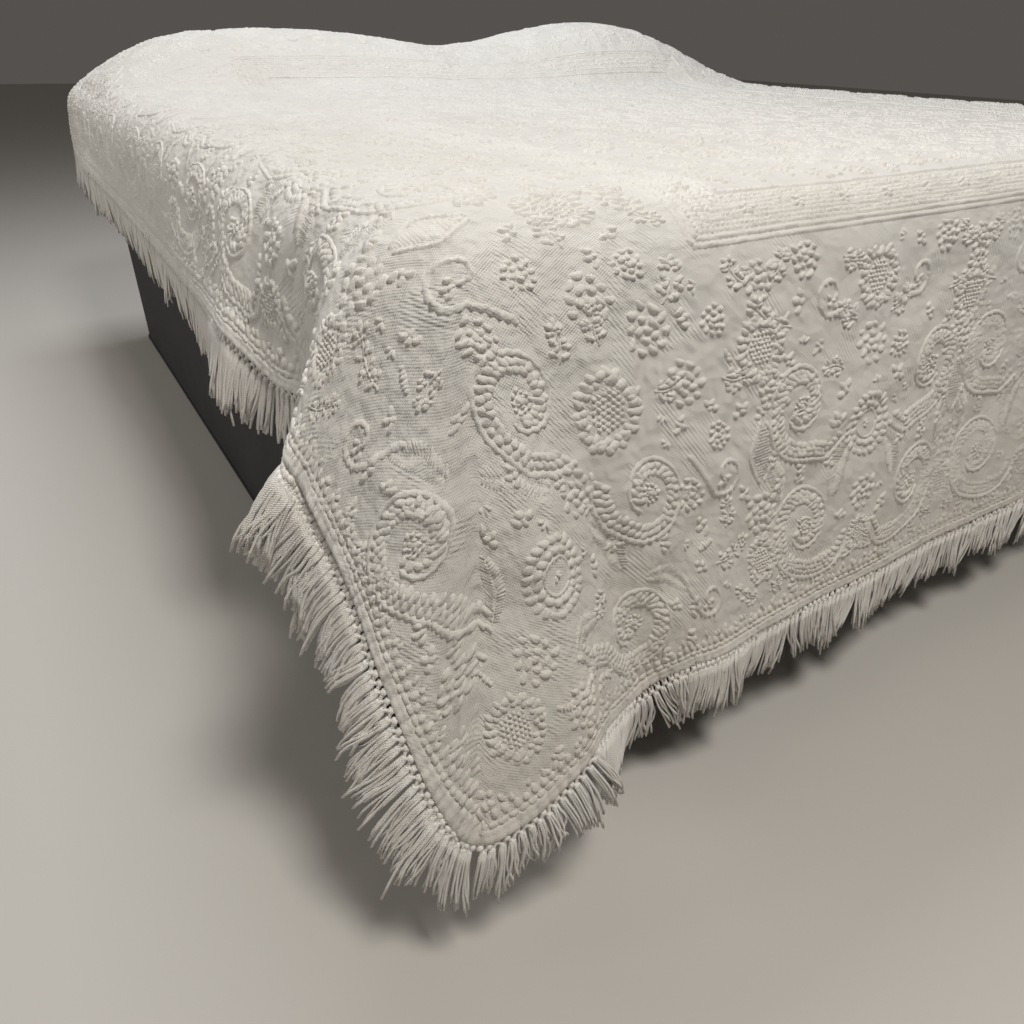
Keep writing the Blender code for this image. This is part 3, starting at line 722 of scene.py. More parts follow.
class Place:
    """A spot on the flat cloth with its own turn, size and mirroring, and the relief it adds to."""

    def __init__(self, relief, origin, matrix):
        self.relief, self.origin, self.matrix = relief, origin, matrix
        self.size = math.sqrt(abs(np.linalg.det(matrix)))

    def at(self, points):
        return self.origin + np.asarray(points) @ self.matrix.T

    def inside(self, x, y, turn=0.0, size=1.0, mirror=False):
        return Place(self.relief, self.at((x, y)), self.matrix @ turned(turn, size, mirror))

    def pad(self, kind, x, y, angle, length, width, height):
        """A pad whose angle is in radians and whose length and width are whole sizes."""
        spot = self.at((x, y))
        vary = self.relief.random.normal(0.0, 1.0, 3)
        way = self.matrix @ np.array([math.cos(angle), math.sin(angle)])
        heading = math.atan2(way[1], way[0])
        if kind == "scale":
            heading = WEFT_LEAN * (heading - math.pi * round(heading / math.pi))
        sway = RIDGE_SWAY if kind == "ridge" else PAD_SWAY
        if kind != "ridge" and np.hypot(*spot) > FINE_REACH:
            kind = "plain"
        self.relief.pads[kind].append((
            spot[0] + PAD_DRIFT * vary[1], spot[1] + PAD_DRIFT * vary[2], heading + sway * vary[0],
            length * self.size / 2 * (1 + LENGTH_SPREAD * vary[1]), width * self.size / 2,
            height * PUFF * (1 + HEIGHT_SPREAD * vary[2]),
        ))

    def scale(self, x, y, angle, size=1.0):
        self.pad("scale", x, y, angle, SCALE_LENGTH * size, SCALE_WIDTH * size, SCALE_HEIGHT)

    def rope(self, points, width=ROPE, pitch=ROPE_PITCH, height=ROPE_HEIGHT, taper=0.25, shift=0.0):
        """A ridge along a line, dented every pitch on a slant; taper narrows it toward its far end."""
        points, run = measured(points)
        count = 2 * max(2, int(round(run[-1] / pitch)))
        at = np.linspace(0.0, run[-1], count + 1)
        line = np.column_stack([np.interp(at, run, points[:, 0]), np.interp(at, run, points[:, 1])])
        way = unit(np.gradient(line, axis=0))
        side = np.column_stack([-way[:, 1], way[:, 0]])
        narrow = 1 - taper * (at / run[-1])
        line = line + side * (shift * narrow)[:, None]
        swell = (np.arange(count + 1) % 2)[:, None]
        ends = np.clip(np.minimum(at, run[-1] - at) / (0.5 * pitch) + 0.25, 0.25, 1.0)
        half = width / 2 * narrow * ends
        reach = ROPE_ACROSS[None, :] * half[:, None] * (0.80 + 0.20 * swell)
        skewed = side + ROPE_SLANT * way
        flat = self.at(line[:, None, :] + skewed[:, None, :] * reach[..., None])
        fullness = np.where(swell > 0, 1.0, ROPE_DENT)
        lift = height * PUFF * fullness * ROPE_RISE[None, :] * (ends * narrow ** 0.5)[:, None]
        vary = 1 + 0.15 * self.relief.random.normal(0.0, 1.0, (len(at), 1))
        self.relief.ropes.append((flat, np.where(ROPE_RISE[None, :] > 0, lift * vary, RIM_DEPTH)))


class Relief:
    """Collects raised parts and turns them into one mesh piece."""

    def __init__(self, seed):
        self.pads = {kind: [] for kind in PAD_KINDS}
        self.ropes = []
        self.random = np.random.default_rng(seed)

    def place(self, x, y, turn=0.0):
        return Place(self, np.array([x, y], float), turned(turn))

    def make(self, name):
        parts = MeshParts()
        for kind, rows in self.pads.items():
            if rows:
                parts.add(*pad_mesh(PAD_KINDS[kind], np.array(rows)))
        for flat, lift in self.ropes:
            parts.add(*rope_mesh(flat, lift))
        return parts.make(name, RAISED, "cotton")


def pad_mesh(shape, rows):
    """All the pads of one kind, placed from their table."""
    x, y, angle, length, width, height = rows.T[:, :, None]
    local = np.array(shape.points)
    out = local[:, 0] * length
    side = local[:, 1] * width
    across = x + out * np.cos(angle) - side * np.sin(angle)
    along = y + out * np.sin(angle) + side * np.cos(angle)
    lift = np.where(local[:, 2] > 0, local[:, 2] * height, RIM_DEPTH)
    first = np.arange(len(rows)) * len(local)
    faces = (first[:, None, None] + np.array(shape.faces)).reshape(-1, 3)
    return on_cloth(across, along, lift), np.stack([across, along], axis=-1), faces


def rope_mesh(flat, lift):
    number = np.arange(lift.size).reshape(lift.shape)
    facing_down = np.cross(flat[1, 0] - flat[0, 0], flat[0, -1] - flat[0, 0]) < 0
    quads = grid_quads(number)[:, [0, 3, 2, 1]]
    return on_cloth(flat[..., 0], flat[..., 1], lift), flat, quads[:, ::-1] if facing_down else quads


# ------------------------------------------------------------------ lines to set parts along
def smooth_curve(knots, per_span=8):
    """Points on a smooth curve through the knots."""
    knots = np.array([knots[0], *knots, knots[-1]], float)
    points = []
    for a, b, c, d in zip(knots, knots[1:], knots[2:], knots[3:]):
        for step in range(per_span):
            t = step / per_span
            points.append(0.5 * (2 * b + (c - a) * t + (2 * a - 5 * b + 4 * c - d) * t * t
                                 + (3 * b - a - 3 * c + d) * t ** 3))
    points.append(knots[-1])
    return np.array(points)


def curl(stem, middle, radius, start, sweep, inner=0.30):
    """A stem that runs on into a curl: turns in degrees, winding in to a share of its radius."""
    knots = list(stem)
    steps = max(6, int(abs(sweep) / 40))
    for step in range(steps + 1):
        t = step / steps
        angle = math.radians(start + sweep * t)
        reach = radius * (1 - (1 - inner) * t ** 0.85)
        knots.append((middle[0] + reach * math.cos(angle), middle[1] + reach * math.sin(angle)))
    return smooth_curve(knots)


def ring_line(radius):
    angles = np.linspace(0, 2 * math.pi, 37)
    return np.column_stack([radius * np.cos(angles), radius * np.sin(angles)])


Station = namedtuple("Station", "x y angle share")


def beside(x, y, angle, aside, ahead=0.0):
    """A point to the left of a direction at a spot, and on ahead along it."""
    return (x - aside * math.sin(angle) + ahead * math.cos(angle),
            y + aside * math.cos(angle) + ahead * math.sin(angle))


def stations(points, pitch, shift=0.0):
    """Evenly spaced stations along a line, moved sideways by shift, with their direction."""
    points, run = measured(points)
    count = max(1, round(run[-1] / pitch))
    found = []
    for n in range(count):
        share = (n + 0.5) / count
        at = share * run[-1]
        spots = [at, min(at + pitch, run[-1]), max(at - pitch, 0.0)]
        (x, ahead_x, behind_x), (y, ahead_y, behind_y) = (np.interp(spots, run, row) for row in points.T)
        angle = math.atan2(ahead_y - behind_y, ahead_x - behind_x)
        found.append(Station(*beside(x, y, angle, shift), angle, share))
    return found


# ------------------------------------------------------------------ motifs
RIB_PITCH = 0.0038
RIB_HEIGHT = 0.0015
CELL_PITCH = 0.0058          # of a honeycomb's bumps
TUFT_REACH = 0.0098
TUFT_SPREAD = math.radians(62)
TUFT_PITCH = 0.046           # of the tufts along a broad scroll
FLOWER_RADIUS = 0.028


def bulge(share, margin, span, power):
    """How wide a shape is at a share of its length: widest near the middle."""
    return math.sin(math.pi * (margin + span * share)) ** power


def scales(place, points, width, side=1, lean=56, taper=0.0, shift=0.0):
    """Rows of overlapping scales along a line, fewer toward its ends."""
    rows = max(1, round(width / SCALE_ROW))
    for row in range(rows):
        offset = (row + 0.5) / rows - 0.5
        stagger = 0.5 * SCALE_PITCH * (row % 2)
        for spot in stations(points, SCALE_PITCH):
            if abs(offset) <= 0.5 * bulge(spot.share, 0.05, 0.90, 0.55):
                narrow = 1 - taper * spot.share
                x, y = beside(spot.x, spot.y, spot.angle, (shift + offset * width) * narrow, stagger)
                place.scale(x, y, spot.angle + side * math.radians(lean), 0.80 + 0.25 * narrow)


def tuft(place, size=1.0, count=3):
    """A leaf of scales that fan from one spot, with one at the foot."""
    place.scale(0.002, 0.0, 0.0, 0.85 * size)
    for n in range(count):
        angle = TUFT_SPREAD * (n - (count - 1) / 2)
        place.scale(*polar(TUFT_REACH * size, angle), angle, size)


def leafy_scroll(place, points, width, side):
    """A broad scroll: a rope outside, scales inside it and a tuft here and there on the rope."""
    place.rope(points, taper=0.30, shift=-side * (width / 2 + 0.001))
    scales(place, points, width * 0.78, side, taper=0.40, shift=side * width * 0.06)
    outside = -side * (width / 2 + 0.009)
    for n, spot in enumerate(stations(points[: len(points) * 3 // 5], TUFT_PITCH, outside)):
        turn = math.degrees(spot.angle) - side * (52 if n % 2 else 28)
        tuft(place.inside(spot.x, spot.y, turn), 0.86)


def honeycomb(place, length, width):
    """Small round bumps set close over an oval."""
    rows = int(length / (CELL_PITCH * 0.87))
    for row in range(-rows, rows + 1):
        y = row * CELL_PITCH * 0.87
        for column in range(-20, 21):
            x = (column + 0.5 * (row % 2)) * CELL_PITCH
            if (2 * y / length) ** 2 + (2 * x / width) ** 2 <= 1:
                place.pad("grain", x, y, 0.0, CELL_PITCH * 1.04, CELL_PITCH * 0.90, 0.0021)


def flower(place, radius=FLOWER_RADIUS):
    """A rounded flower of overlapping scales in two rings round a middle."""
    place.scale(0.0, 0.0, 0.4)
    for count, reach, turn, lean in ((5, 0.38, 0.2, 66), (10, 0.80, 0.0, 48)):
        for n, angle in enumerate(round_about(count)):
            angle += turn
            far = radius * reach * (1.0 + 0.10 * math.sin(3 * angle + turn))
            place.scale(*polar(far, angle), angle + math.pi + math.radians(lean),
                        radius / FLOWER_RADIUS * (0.92 + 0.14 * (n % 2)))


def ring_flower(place, radius=0.044):
    """A wreath of two rings of scales round a plain middle with a small sprig in it."""
    for reach, lean in ((0.60, 68), (0.88, 36)):
        for angle in round_about(round(2 * math.pi * radius * reach / 0.0108)):
            place.scale(*polar(radius * reach, angle), angle + math.radians(lean))
    place.rope(ring_line(radius * 0.43), 0.0050, 0.0060, 0.0018, taper=0.0)
    sprig(place.inside(-0.005, 0.0), 0.010)


def crown_bud(place, length=0.060, width=0.046):
    """A honeycomb bud in a crown of leaves, each a tuft of scales."""
    honeycomb(place, length * 0.70, width * 0.78)
    for n in range(11):
        angle = math.radians(-90 + (n - 5) * 29)
        x, y = width * 0.50 * math.cos(angle), length * 0.44 * math.sin(angle)
        turn = math.degrees(angle) + (14 if n % 2 else -14)
        tuft(place.inside(x, y, turn), 0.94, 3 if n % 2 else 2)
    for n in (-1, 0, 1):
        place.scale(n * 0.0105, length * 0.44, math.radians(90 - n * 32), 1.1)


def ribbed_bud(place, length=0.026, width=0.012):
    """A pointed bud of puffs set side by side, widest in the middle."""
    count = 6
    for n in range(count):
        share = (n + 0.5) / count
        wide = width * bulge(share, 0.12, 0.80, 0.8)
        place.pad("grain", length * share, 0.0, math.pi / 2, wide, length / count * 1.35, 0.0024)


def rib(place, x, y, angle, length):
    place.pad("ridge", x, y, angle, length, RIB_PITCH * 1.04, RIB_HEIGHT)


def ribs(place, width=0.034, lean=30):
    """A leaf of fine ribs in a herringbone along a bowed line."""
    for side in (-1, 1):
        for spot in stations([(-0.040, -0.006), (0.0, 0.004), (0.040, -0.006)], RIB_PITCH):
            room = width / 2 * bulge(spot.share, 0.04, 0.92, 0.5)
            x, y = beside(spot.x, spot.y, spot.angle, side * room / 2)
            rib(place, x, y, spot.angle + side * math.radians(90 - lean), room * 1.08)


def ribbed_lozenge(place, width=0.040, length=0.078):
    """A lozenge of fine ribs across it, edged with two ropes that bow out."""
    count = int(length / RIB_PITCH)
    for n in range(count):
        y = (n + 0.5 - count / 2) * RIB_PITCH
        half = width / 2 * (1 - abs(2 * y / length)) ** 0.85
        if half > 0.003:
            rib(place, 0.0, y, 0.0, 2 * half)
    for side in (-1, 1):
        edge = smooth_curve([(side * 0.003, -length / 2), (side * width * 0.42, -length * 0.2),
                             (side * width * 0.56, 0), (side * width * 0.42, length * 0.2),
                             (side * 0.003, length / 2)])
        place.rope(edge, 0.0074, 0.0070, 0.0024, taper=0.0)


def spray(place, length=0.070, leaves=4, bend=0.30):
    """A curved stem with tufts of leaves in turn on its two sides and one at its tip."""
    tip = polar(length, bend)
    stem = smooth_curve([(0, 0), (length * 0.5, length * bend * 0.12), tip])
    place.rope(stem, 0.0052, 0.0070, 0.0019)
    for n, spot in enumerate(stations(stem, length / leaves)):
        for side in (-1, 1):
            angle = spot.angle + side * math.radians(50 + 8 * (n % 2))
            x, y = polar(0.0052, angle)
            tuft(place.inside(spot.x + x, spot.y + y, math.degrees(angle)),
                 0.82 - 0.14 * spot.share, 1 + (n + (side > 0)) % 2)
    tuft(place.inside(*tip, math.degrees(bend) * 1.6), 0.85)


def leaf(place, length=0.066, width=0.036):
    """A large leaf of shingled scales with a short stalk."""
    line = smooth_curve([(-length / 2, 0.0), (0.0, length * 0.09), (length / 2, 0.0)])
    scales(place, line, width, lean=34)
    stalk = smooth_curve([(-length * 0.74, -0.006), (-length * 0.58, -0.003), (-length * 0.44, 0.0)])
    place.rope(stalk, 0.0056, 0.0070, 0.0020)


def sprig(place, size=0.012):
    """Three small leaves."""
    for turn in (-52, 0, 52):
        angle = math.radians(turn)
        place.pad("petal", *polar(size * 0.5, angle), angle, size, size * 0.55, 0.0022)


def wreath(place):
    """A rope ring with tufts inside and outside it and a flower in its middle."""
    place.rope(ring_line(0.070), taper=0.0)
    for angle in round_about(16):
        for reach, lean in ((0.080, 30), (0.060, 150)):
            tuft(place.inside(*polar(reach, angle), math.degrees(angle) + lean))
    flower(place, 0.030)


MOTIFS = {
    "wreath": wreath,
    "flower": flower,
    "ring_flower": ring_flower,
    "crown_bud": crown_bud,
    "lozenge": ribbed_lozenge,
    "ribs": ribs,
    "spray": spray,
    "short_spray": lambda place: spray(place, 0.040, 3),
    "leaf": leaf,
    "tuft": tuft,
    "bud": ribbed_bud,
    "sprig": sprig,
}

# ------------------------------------------------------------------ layout of the pattern
Put = namedtuple("Put", "motif x y turn size")
Scroll = namedtuple("Scroll", "kind stem x y radius start sweep width")


def set_out(place, puts, scrolls=()):
    """Sets motifs and scrolls by a table, and again mirrored across the place's own y axis."""
    for row in puts:
        alone = row.x == 0 and row.turn % 180 in (0, 90)
        for mirror in (False,) if alone else (False, True):
            x, turn = (-row.x, 180 - row.turn) if mirror else (row.x, row.turn)
            MOTIFS[row.motif](place.inside(x, row.y, turn, row.size, mirror))
    for row in scrolls:
        line = curl(row.stem, (row.x, row.y), row.radius, row.start, row.sweep)
        for half in (place, place.inside(0.0, 0.0, 180, 1.0, True)):
            if row.kind == "leafy":
                leafy_scroll(half, line, row.width, 1 if row.sweep > 0 else -1)
                flower(half.inside(row.x, row.y), 0.013)
            else:
                half.rope(line, row.width, taper=0.35)
                tuft(half.inside(*line[-1], row.start + row.sweep + 90), 0.8)


# One repeat of the border, from its middle line; y runs in from the hem.
BORDER_PUTS = [Put(*row) for row in (
    ("crown_bud", 0.0, 0.418, 0, 1.0), ("flower", 0.0, 0.340, 0, 1.0), ("ring_flower", 0.0, 0.236, 0, 1.0),
    ("flower", 0.0, 0.142, 0, 0.95), ("crown_bud", 0.0, 0.078, 180, 0.72),
    ("spray", 0.150, 0.382, 10, 0.95), ("short_spray", 0.032, 0.372, 12, 0.9),
    ("ribs", 0.052, 0.190, -62, 1.0), ("ribs", 0.176, 0.204, 70, 0.9), ("tuft", 0.050, 0.288, 50, 1.1),
    ("bud", 0.058, 0.062, 15, 1.0), ("tuft", 0.182, 0.140, 20, 1.1), ("flower", 0.184, 0.318, 0, 0.80),
    ("flower", 0.128, 0.452, 0, 0.80), ("tuft", 0.182, 0.440, 60, 1.0),
)]
BORDER_SCROLLS = [
    Scroll("leafy", ((0.026, 0.098), (0.052, 0.062), (0.090, 0.056)), 0.118, 0.126, 0.058, -72, 400, 0.027),
    Scroll("leafy", ((0.052, 0.240), (0.080, 0.222), (0.104, 0.226)), 0.134, 0.288, 0.054, -74, 395, 0.025),
    Scroll("rope", ((0.036, 0.392), (0.056, 0.378)), 0.086, 0.408, 0.027, -120, 350, 0.0112),
]
# What stands between two repeats.
JOINT_PUTS = [Put(*row) for row in (
    ("lozenge", 0.0, 0.246, 0, 1.0), ("flower", 0.0, 0.168, 0, 1.05), ("crown_bud", 0.0, 0.100, 180, 0.85),
    ("crown_bud", 0.0, 0.368, 0, 1.0), ("flower", 0.0, 0.440, 0, 0.85),
    ("short_spray", 0.016, 0.436, 28, 0.8), ("spray", 0.012, 0.052, 14, 0.70),
    ("tuft", 0.030, 0.300, 60, 1.0), ("tuft", 0.026, 0.204, -30, 1.0),
)]
# A corner, with y along the diagonal from the tip of the cloth.
CORNER_PUTS = [Put(*row) for row in (
    ("crown_bud", 0.0, 0.128, 180, 0.95), ("flower", 0.0, 0.202, 0, 1.0), ("flower", 0.074, 0.166, 0, 0.90),
    ("ring_flower", 0.0, 0.292, 0, 1.05), ("flower", 0.0, 0.392, 0, 1.0),
    ("crown_bud", 0.0, 0.488, 0, 1.15), ("flower", 0.0, 0.582, 0, 1.0),
    ("short_spray", 0.0, 0.612, 90, 1.0), ("flower", 0.070, 0.566, 0, 0.95),
    ("flower", 0.150, 0.470, 0, 0.75), ("ribs", 0.066, 0.250, 62, 0.8), ("ribs", 0.076, 0.366, -20, 1.0),
    ("ribs", 0.178, 0.366, 15, 0.9), ("spray", 0.240, 0.420, 40, 0.85), ("bud", 0.038, 0.160, 10, 0.9),
    ("tuft", 0.052, 0.110, 0, 0.9), ("tuft", 0.110, 0.196, -10, 1.0), ("tuft", 0.058, 0.330, 30, 1.0),
    ("short_spray", 0.040, 0.536, 30, 0.8), ("short_spray", 0.110, 0.600, 20, 0.9),
    ("tuft", 0.232, 0.350, 30, 1.1), ("bud", 0.205, 0.420, 60, 1.0), ("tuft", 0.250, 0.310, 20, 1.0),
)]
CORNER_SCROLLS = [
    Scroll("leafy", ((0.056, 0.226), (0.084, 0.222), (0.118, 0.240)), 0.162, 0.294, 0.056, -108, 400, 0.026),
    Scroll("leafy", ((0.024, 0.430), (0.040, 0.404), (0.062, 0.392)), 0.094, 0.440, 0.052, -110, 385, 0.024),
    Scroll("rope", ((0.196, 0.380), (0.222, 0.366)), 0.258, 0.378, 0.026, -100, 350, 0.0112),
    Scroll("rope", ((0.120, 0.506), (0.150, 0.500)), 0.186, 0.520, 0.030, -100, 350, 0.0112),
]
# The middle field's centrepiece, and a lighter group repeated over the field in a half-drop.
MEDALLION_PUTS = [Put(*row) for row in (
    ("wreath", 0.0, 0.0, 0, 1.4), ("crown_bud", 0.0, 0.175, 0, 1.3), ("crown_bud", 0.0, -0.175, 180, 1.3),
    ("flower", 0.205, 0.0, 0, 1.2), ("spray", 0.200, 0.130, 50, 1.0), ("spray", 0.200, -0.130, -50, 1.0),
    ("short_spray", 0.0, 0.225, 90, 1.0), ("short_spray", 0.0, -0.225, -90, 1.0),
)]
MEDALLION_SCROLLS = [
    Scroll("leafy", ((0.050, 0.135), (0.085, 0.120)), 0.150, 0.082, 0.048, 130, -400, 0.022),
    Scroll("leafy", ((0.050, -0.135), (0.085, -0.120)), 0.150, -0.082, 0.048, -130, 400, 0.022),
]
FIELD_PUTS = [Put(*row) for row in (
    ("flower", 0.0, 0.0, 0, 1.2), ("spray", 0.040, -0.022, -30, 0.8), ("short_spray", 0.0, 0.044, 90, 1.0),
    ("short_spray", 0.0, -0.044, -90, 1.0), ("flower", 0.098, 0.078, 0, 0.85),
    ("tuft", 0.112, 0.010, 0, 1.0),
)]
FIELD_SCROLLS = [
    Scroll("rope", ((0.036, 0.020), (0.050, 0.040)), 0.070, 0.034, 0.020, 110, -330, 0.0106),
]
FIELD_STEP_ACROSS = 0.250
FIELD_STEP_ALONG = 0.205
MEDALLION_REACH = 0.34
REPEATS = 3                  # of the border along a side
BAND_ROPES = ((0.0045, 0.0092), (0.0130, 0.0092), (BAND - 0.0045, 0.0080))    # depth and width
BAND_FLOWER_PITCH = 0.074
FINGER_FOOT = 0.0188         # where the fingers start, from the hem


def border_sides():
    """Each side of the cloth: where its hem starts, which way it runs and how long it is."""
    right, head, whole = BED_WIDTH + SIDE_DROP, BED_LENGTH, BED_LENGTH + FOOT_DROP
    return {
        "foot": ((-SIDE_DROP, -FOOT_DROP, 0), WHOLE_FOOT),
        "right": ((right, -FOOT_DROP, 90), whole),
        "head": ((right, head, 180), WHOLE_FOOT),
        "left": ((-SIDE_DROP, head, -90), whole),
    }


def lay_border(place, length):
    """The border's repeats and what joins them, and the corner where the side starts."""
    inner = length - 2 * BORDER
    for n in range(REPEATS):
        set_out(place.inside(BORDER + inner * (n + 0.5) / REPEATS, 0.0), BORDER_PUTS, BORDER_SCROLLS)
    for n in range(REPEATS + 1):
        set_out(place.inside(BORDER + inner * n / REPEATS, 0.0), JOINT_PUTS)
    set_out(place.inside(0.0, 0.0, -45), CORNER_PUTS, CORNER_SCROLLS)


def lay_band(place, length):
    """The band that frames the middle: ropes along its edges, rows of grains and flowers between."""
    outer = BORDER - BAND

    def mitred(depth):
        return [(outer + depth, outer + depth), (length - outer - depth, outer + depth)]

    for depth, width in BAND_ROPES:
        place.rope(mitred(depth), width, 0.0076, 0.0027, taper=0.0)
    for row in range(8):
        lean = math.radians(34 if row % 2 else -34)
        for spot in stations(mitred(0.0205 + row * 0.0069), 0.0066):
            place.pad("ridge", spot.x, spot.y, lean, 0.0086, 0.0056, 0.0024)
    middle = outer + 0.045
    for spot in stations([(outer + 0.06, middle), (length - outer - 0.06, middle)], BAND_FLOWER_PITCH):
        for angle in round_about(5):
            x, y = polar(0.0062, angle)
            place.pad("petal", spot.x + x, spot.y + y, angle, 0.0104, 0.0076, 0.0038)


def lay_hem(place, length):
    """The chain of puffs inside the folded edge, and the fingers that point in from it."""
    for spot in stations([(0.010, HEM_CHAIN), (length - 0.010, HEM_CHAIN)], 0.0116):
        place.pad("block", spot.x, spot.y, 0.0, 0.0121, 0.0066, 0.0022)
    for n, spot in enumerate(stations([(0.028, 0.0), (length - 0.028, 0.0)], 0.0118)):
        lean = math.radians(90 + 13 * math.sin(n * 2.3))
        reach = 0.0135 + 0.0030 * math.sin(n * 1.9)
        place.pad("petal", spot.x, FINGER_FOOT + reach / 2, lean, reach, 0.0112, 0.0027)
        if n % 5 != 3:
            far = FINGER_FOOT + reach * 0.86 + 0.004
            place.pad("petal", spot.x + 0.004 * math.sin(n * 2.9), far,
                      lean + 0.5 * math.sin(n * 1.3), 0.0116, 0.0084, 0.0023)


def lay_field(field):
    """The centrepiece, and the lighter groups round it."""
    low_x, high_x = -SIDE_DROP + BORDER, BED_WIDTH + SIDE_DROP - BORDER
    low_y, high_y = -FOOT_DROP + BORDER, BED_LENGTH - BORDER
    middle_x, middle_y = (low_x + high_x) / 2, (low_y + high_y) / 2
    set_out(field.place(middle_x, middle_y), MEDALLION_PUTS, MEDALLION_SCROLLS)
    for row in range(-3, 4):
        for column in range(-3, 4):
            x = middle_x + (column + 0.5 * (row % 2)) * FIELD_STEP_ACROSS
            y = middle_y + row * FIELD_STEP_ALONG
            inside = low_x + 0.13 < x < high_x - 0.13 and low_y + 0.09 < y < high_y - 0.09
            if inside and math.hypot(x - middle_x, y - middle_y) > MEDALLION_REACH:
                set_out(field.place(x, y), FIELD_PUTS, FIELD_SCROLLS)


FILL_CELL = 0.004            # free ground is looked for in cells of this size
FILL_CLEAR = 1               # cells kept free round every raised part
FILL_MARGIN = 0.056
FILL_TRIALS = 9000
Fill = namedtuple("Fill", "motif room back size")    # room: free cells that it needs on every side
FILLS = [Fill(*row) for row in (
    ("leaf", 7, 0.005, 0.82), ("flower", 7, 0.0, 0.86), ("flower", 5, 0.0, 0.64),
    ("short_spray", 4, -0.015, 0.78), ("tuft", 4, -0.006, 1.1), ("tuft", 3, -0.005, 0.85),
    ("sprig", 2, -0.004, 0.9),
)]


def filled_cells(reliefs, shape):
    """Which cells of the flat cloth lie near a raised part."""
    taken = np.zeros(shape, bool)
    for relief in reliefs:
        spots = [np.array(rows)[:, :2] for rows in relief.pads.values() if rows]
        spots += [rope[0].reshape(-1, 2) for rope in relief.ropes]
        for x, y in ((np.concatenate(spots) + (SIDE_DROP, FOOT_DROP)) / FILL_CELL).astype(int):
            low_x, low_y = max(x - FILL_CLEAR, 0), max(y - FILL_CLEAR, 0)
            taken[low_y:y + FILL_CLEAR + 1, low_x:x + FILL_CLEAR + 1] = True
    return taken


def fill_ground(reliefs, relief_at):
    """Sets the motifs of the table, from the largest to the smallest, on ground that is still free."""
    shape = (int((BED_LENGTH + FOOT_DROP) / FILL_CELL), int(WHOLE_FOOT / FILL_CELL))
    taken = filled_cells(reliefs, shape)
    edge = int(FILL_MARGIN / FILL_CELL)
    random = np.random.default_rng(77)
    for motif, room, back, size in FILLS:
        for _ in range(FILL_TRIALS):
            column = random.integers(edge, shape[1] - edge)
            row = random.integers(edge, shape[0] - edge)
            area = (slice(row - room, row + room + 1), slice(column - room, column + room + 1))
            if not taken[area].any():
                taken[area] = True
                x, y = column * FILL_CELL - SIDE_DROP, row * FILL_CELL - FOOT_DROP
                spot = relief_at(x, y).place(x, y, random.uniform(0, 360))
                MOTIFS[motif](spot.inside(back, 0.0, 0.0, size))


def make_relief():
    """The raised pattern: a border and a band piece for each side, and the middle field."""
    sides = border_sides()
    borders, bands, field = {}, {}, Relief(40)
    for seed, (side, (start, length)) in enumerate(sides.items()):
        borders[side], bands[side] = Relief(20 + seed), Relief(30 + seed)
        lay_border(borders[side].place(*start), length)
        lay_band(bands[side].place(*start), length)
        lay_hem(bands[side].place(*start), length)
    lay_field(field)

    def relief_at(x, y):
        depths = {"left": x + SIDE_DROP, "right": BED_WIDTH + SIDE_DROP - x, "foot": y + FOOT_DROP,
                  "head": BED_LENGTH - y}
        nearest = min(depths, key=depths.get)
        return borders[nearest] if depths[nearest] < BORDER else field

    fill_ground([*borders.values(), *bands.values(), field], relief_at)
    pieces = [borders[side].make(f"relief_{side}_border") for side in sides]
    pieces += [bands[side].make(f"relief_{side}_band") for side in sides]
    return pieces + [field.make("relief_middle_field")]


# ------------------------------------------------------------------ padded hem
HEM_BLOCKS = (0.0105, 0.0190)    # shortest and longest block that the hem is drawn into
HEM_CORNER = 0.008               # the hem cuts its corners by this much
HEM_DENT = 0.62                  # how much of its height the hem loses in a dent
HEM_SPREAD = 0.16                # how far chance changes its height and its dents
HEM_PINCH = 0.07                 # how much of its width it loses in a dent
HEM_WAVER = 0.06                 # how far chance and long waves change its width
HEM_PROFILE = [(-0.0020, -0.0014), (-0.0012, 0.0010), (0.0012, 0.0025), (0.0048, 0.0026), (0.0068, 0.0016),
               (0.0090, 0.0024), (0.0124, 0.0019), (0.0134, -0.0010), (0.0100, -0.0046), (0.0010, -0.0046)]


def hem_stations(length, random):
    """Places along a side, three to a block, and whether each is a dent between two blocks."""
    blocks = random.uniform(*HEM_BLOCKS, int(length / HEM_BLOCKS[0]))
    ends = np.cumsum(blocks)
    blocks = blocks[:np.searchsorted(ends, length)]
    blocks = blocks * length / blocks.sum()
    starts = np.cumsum(blocks) - blocks
    run = (starts[:, None] + blocks[:, None] * np.array([0.0, 0.16, 0.84])).ravel()
    return run, np.tile([1.0, 0.0, 0.0], len(blocks))


def hem_course(random):
    """The hem's course all the way round: its points, the way in from each, and where it is dented."""
    low_x, high_x = -SIDE_DROP, BED_WIDTH + SIDE_DROP
    low_y, high_y = -FOOT_DROP, BED_LENGTH
    path, inward, dented = [], [], []
    corners = np.array([(low_x, high_y), (low_x, low_y), (high_x, low_y), (high_x, high_y)])
    for start, end, into in zip(corners, np.roll(corners, -1, 0), ((1, 0), (0, 1), (-1, 0), (0, -1))):
        length = np.hypot(*(end - start))
        run, dents = hem_stations(length - 2 * HEM_CORNER, random)
        path.append(start + (end - start) * ((HEM_CORNER + run) / length)[:, None])
        inward.append(np.broadcast_to(np.array(into, float), (len(run), 2)))
        dented.append(dents)
    return np.concatenate(path), np.concatenate(inward), np.concatenate(dented)


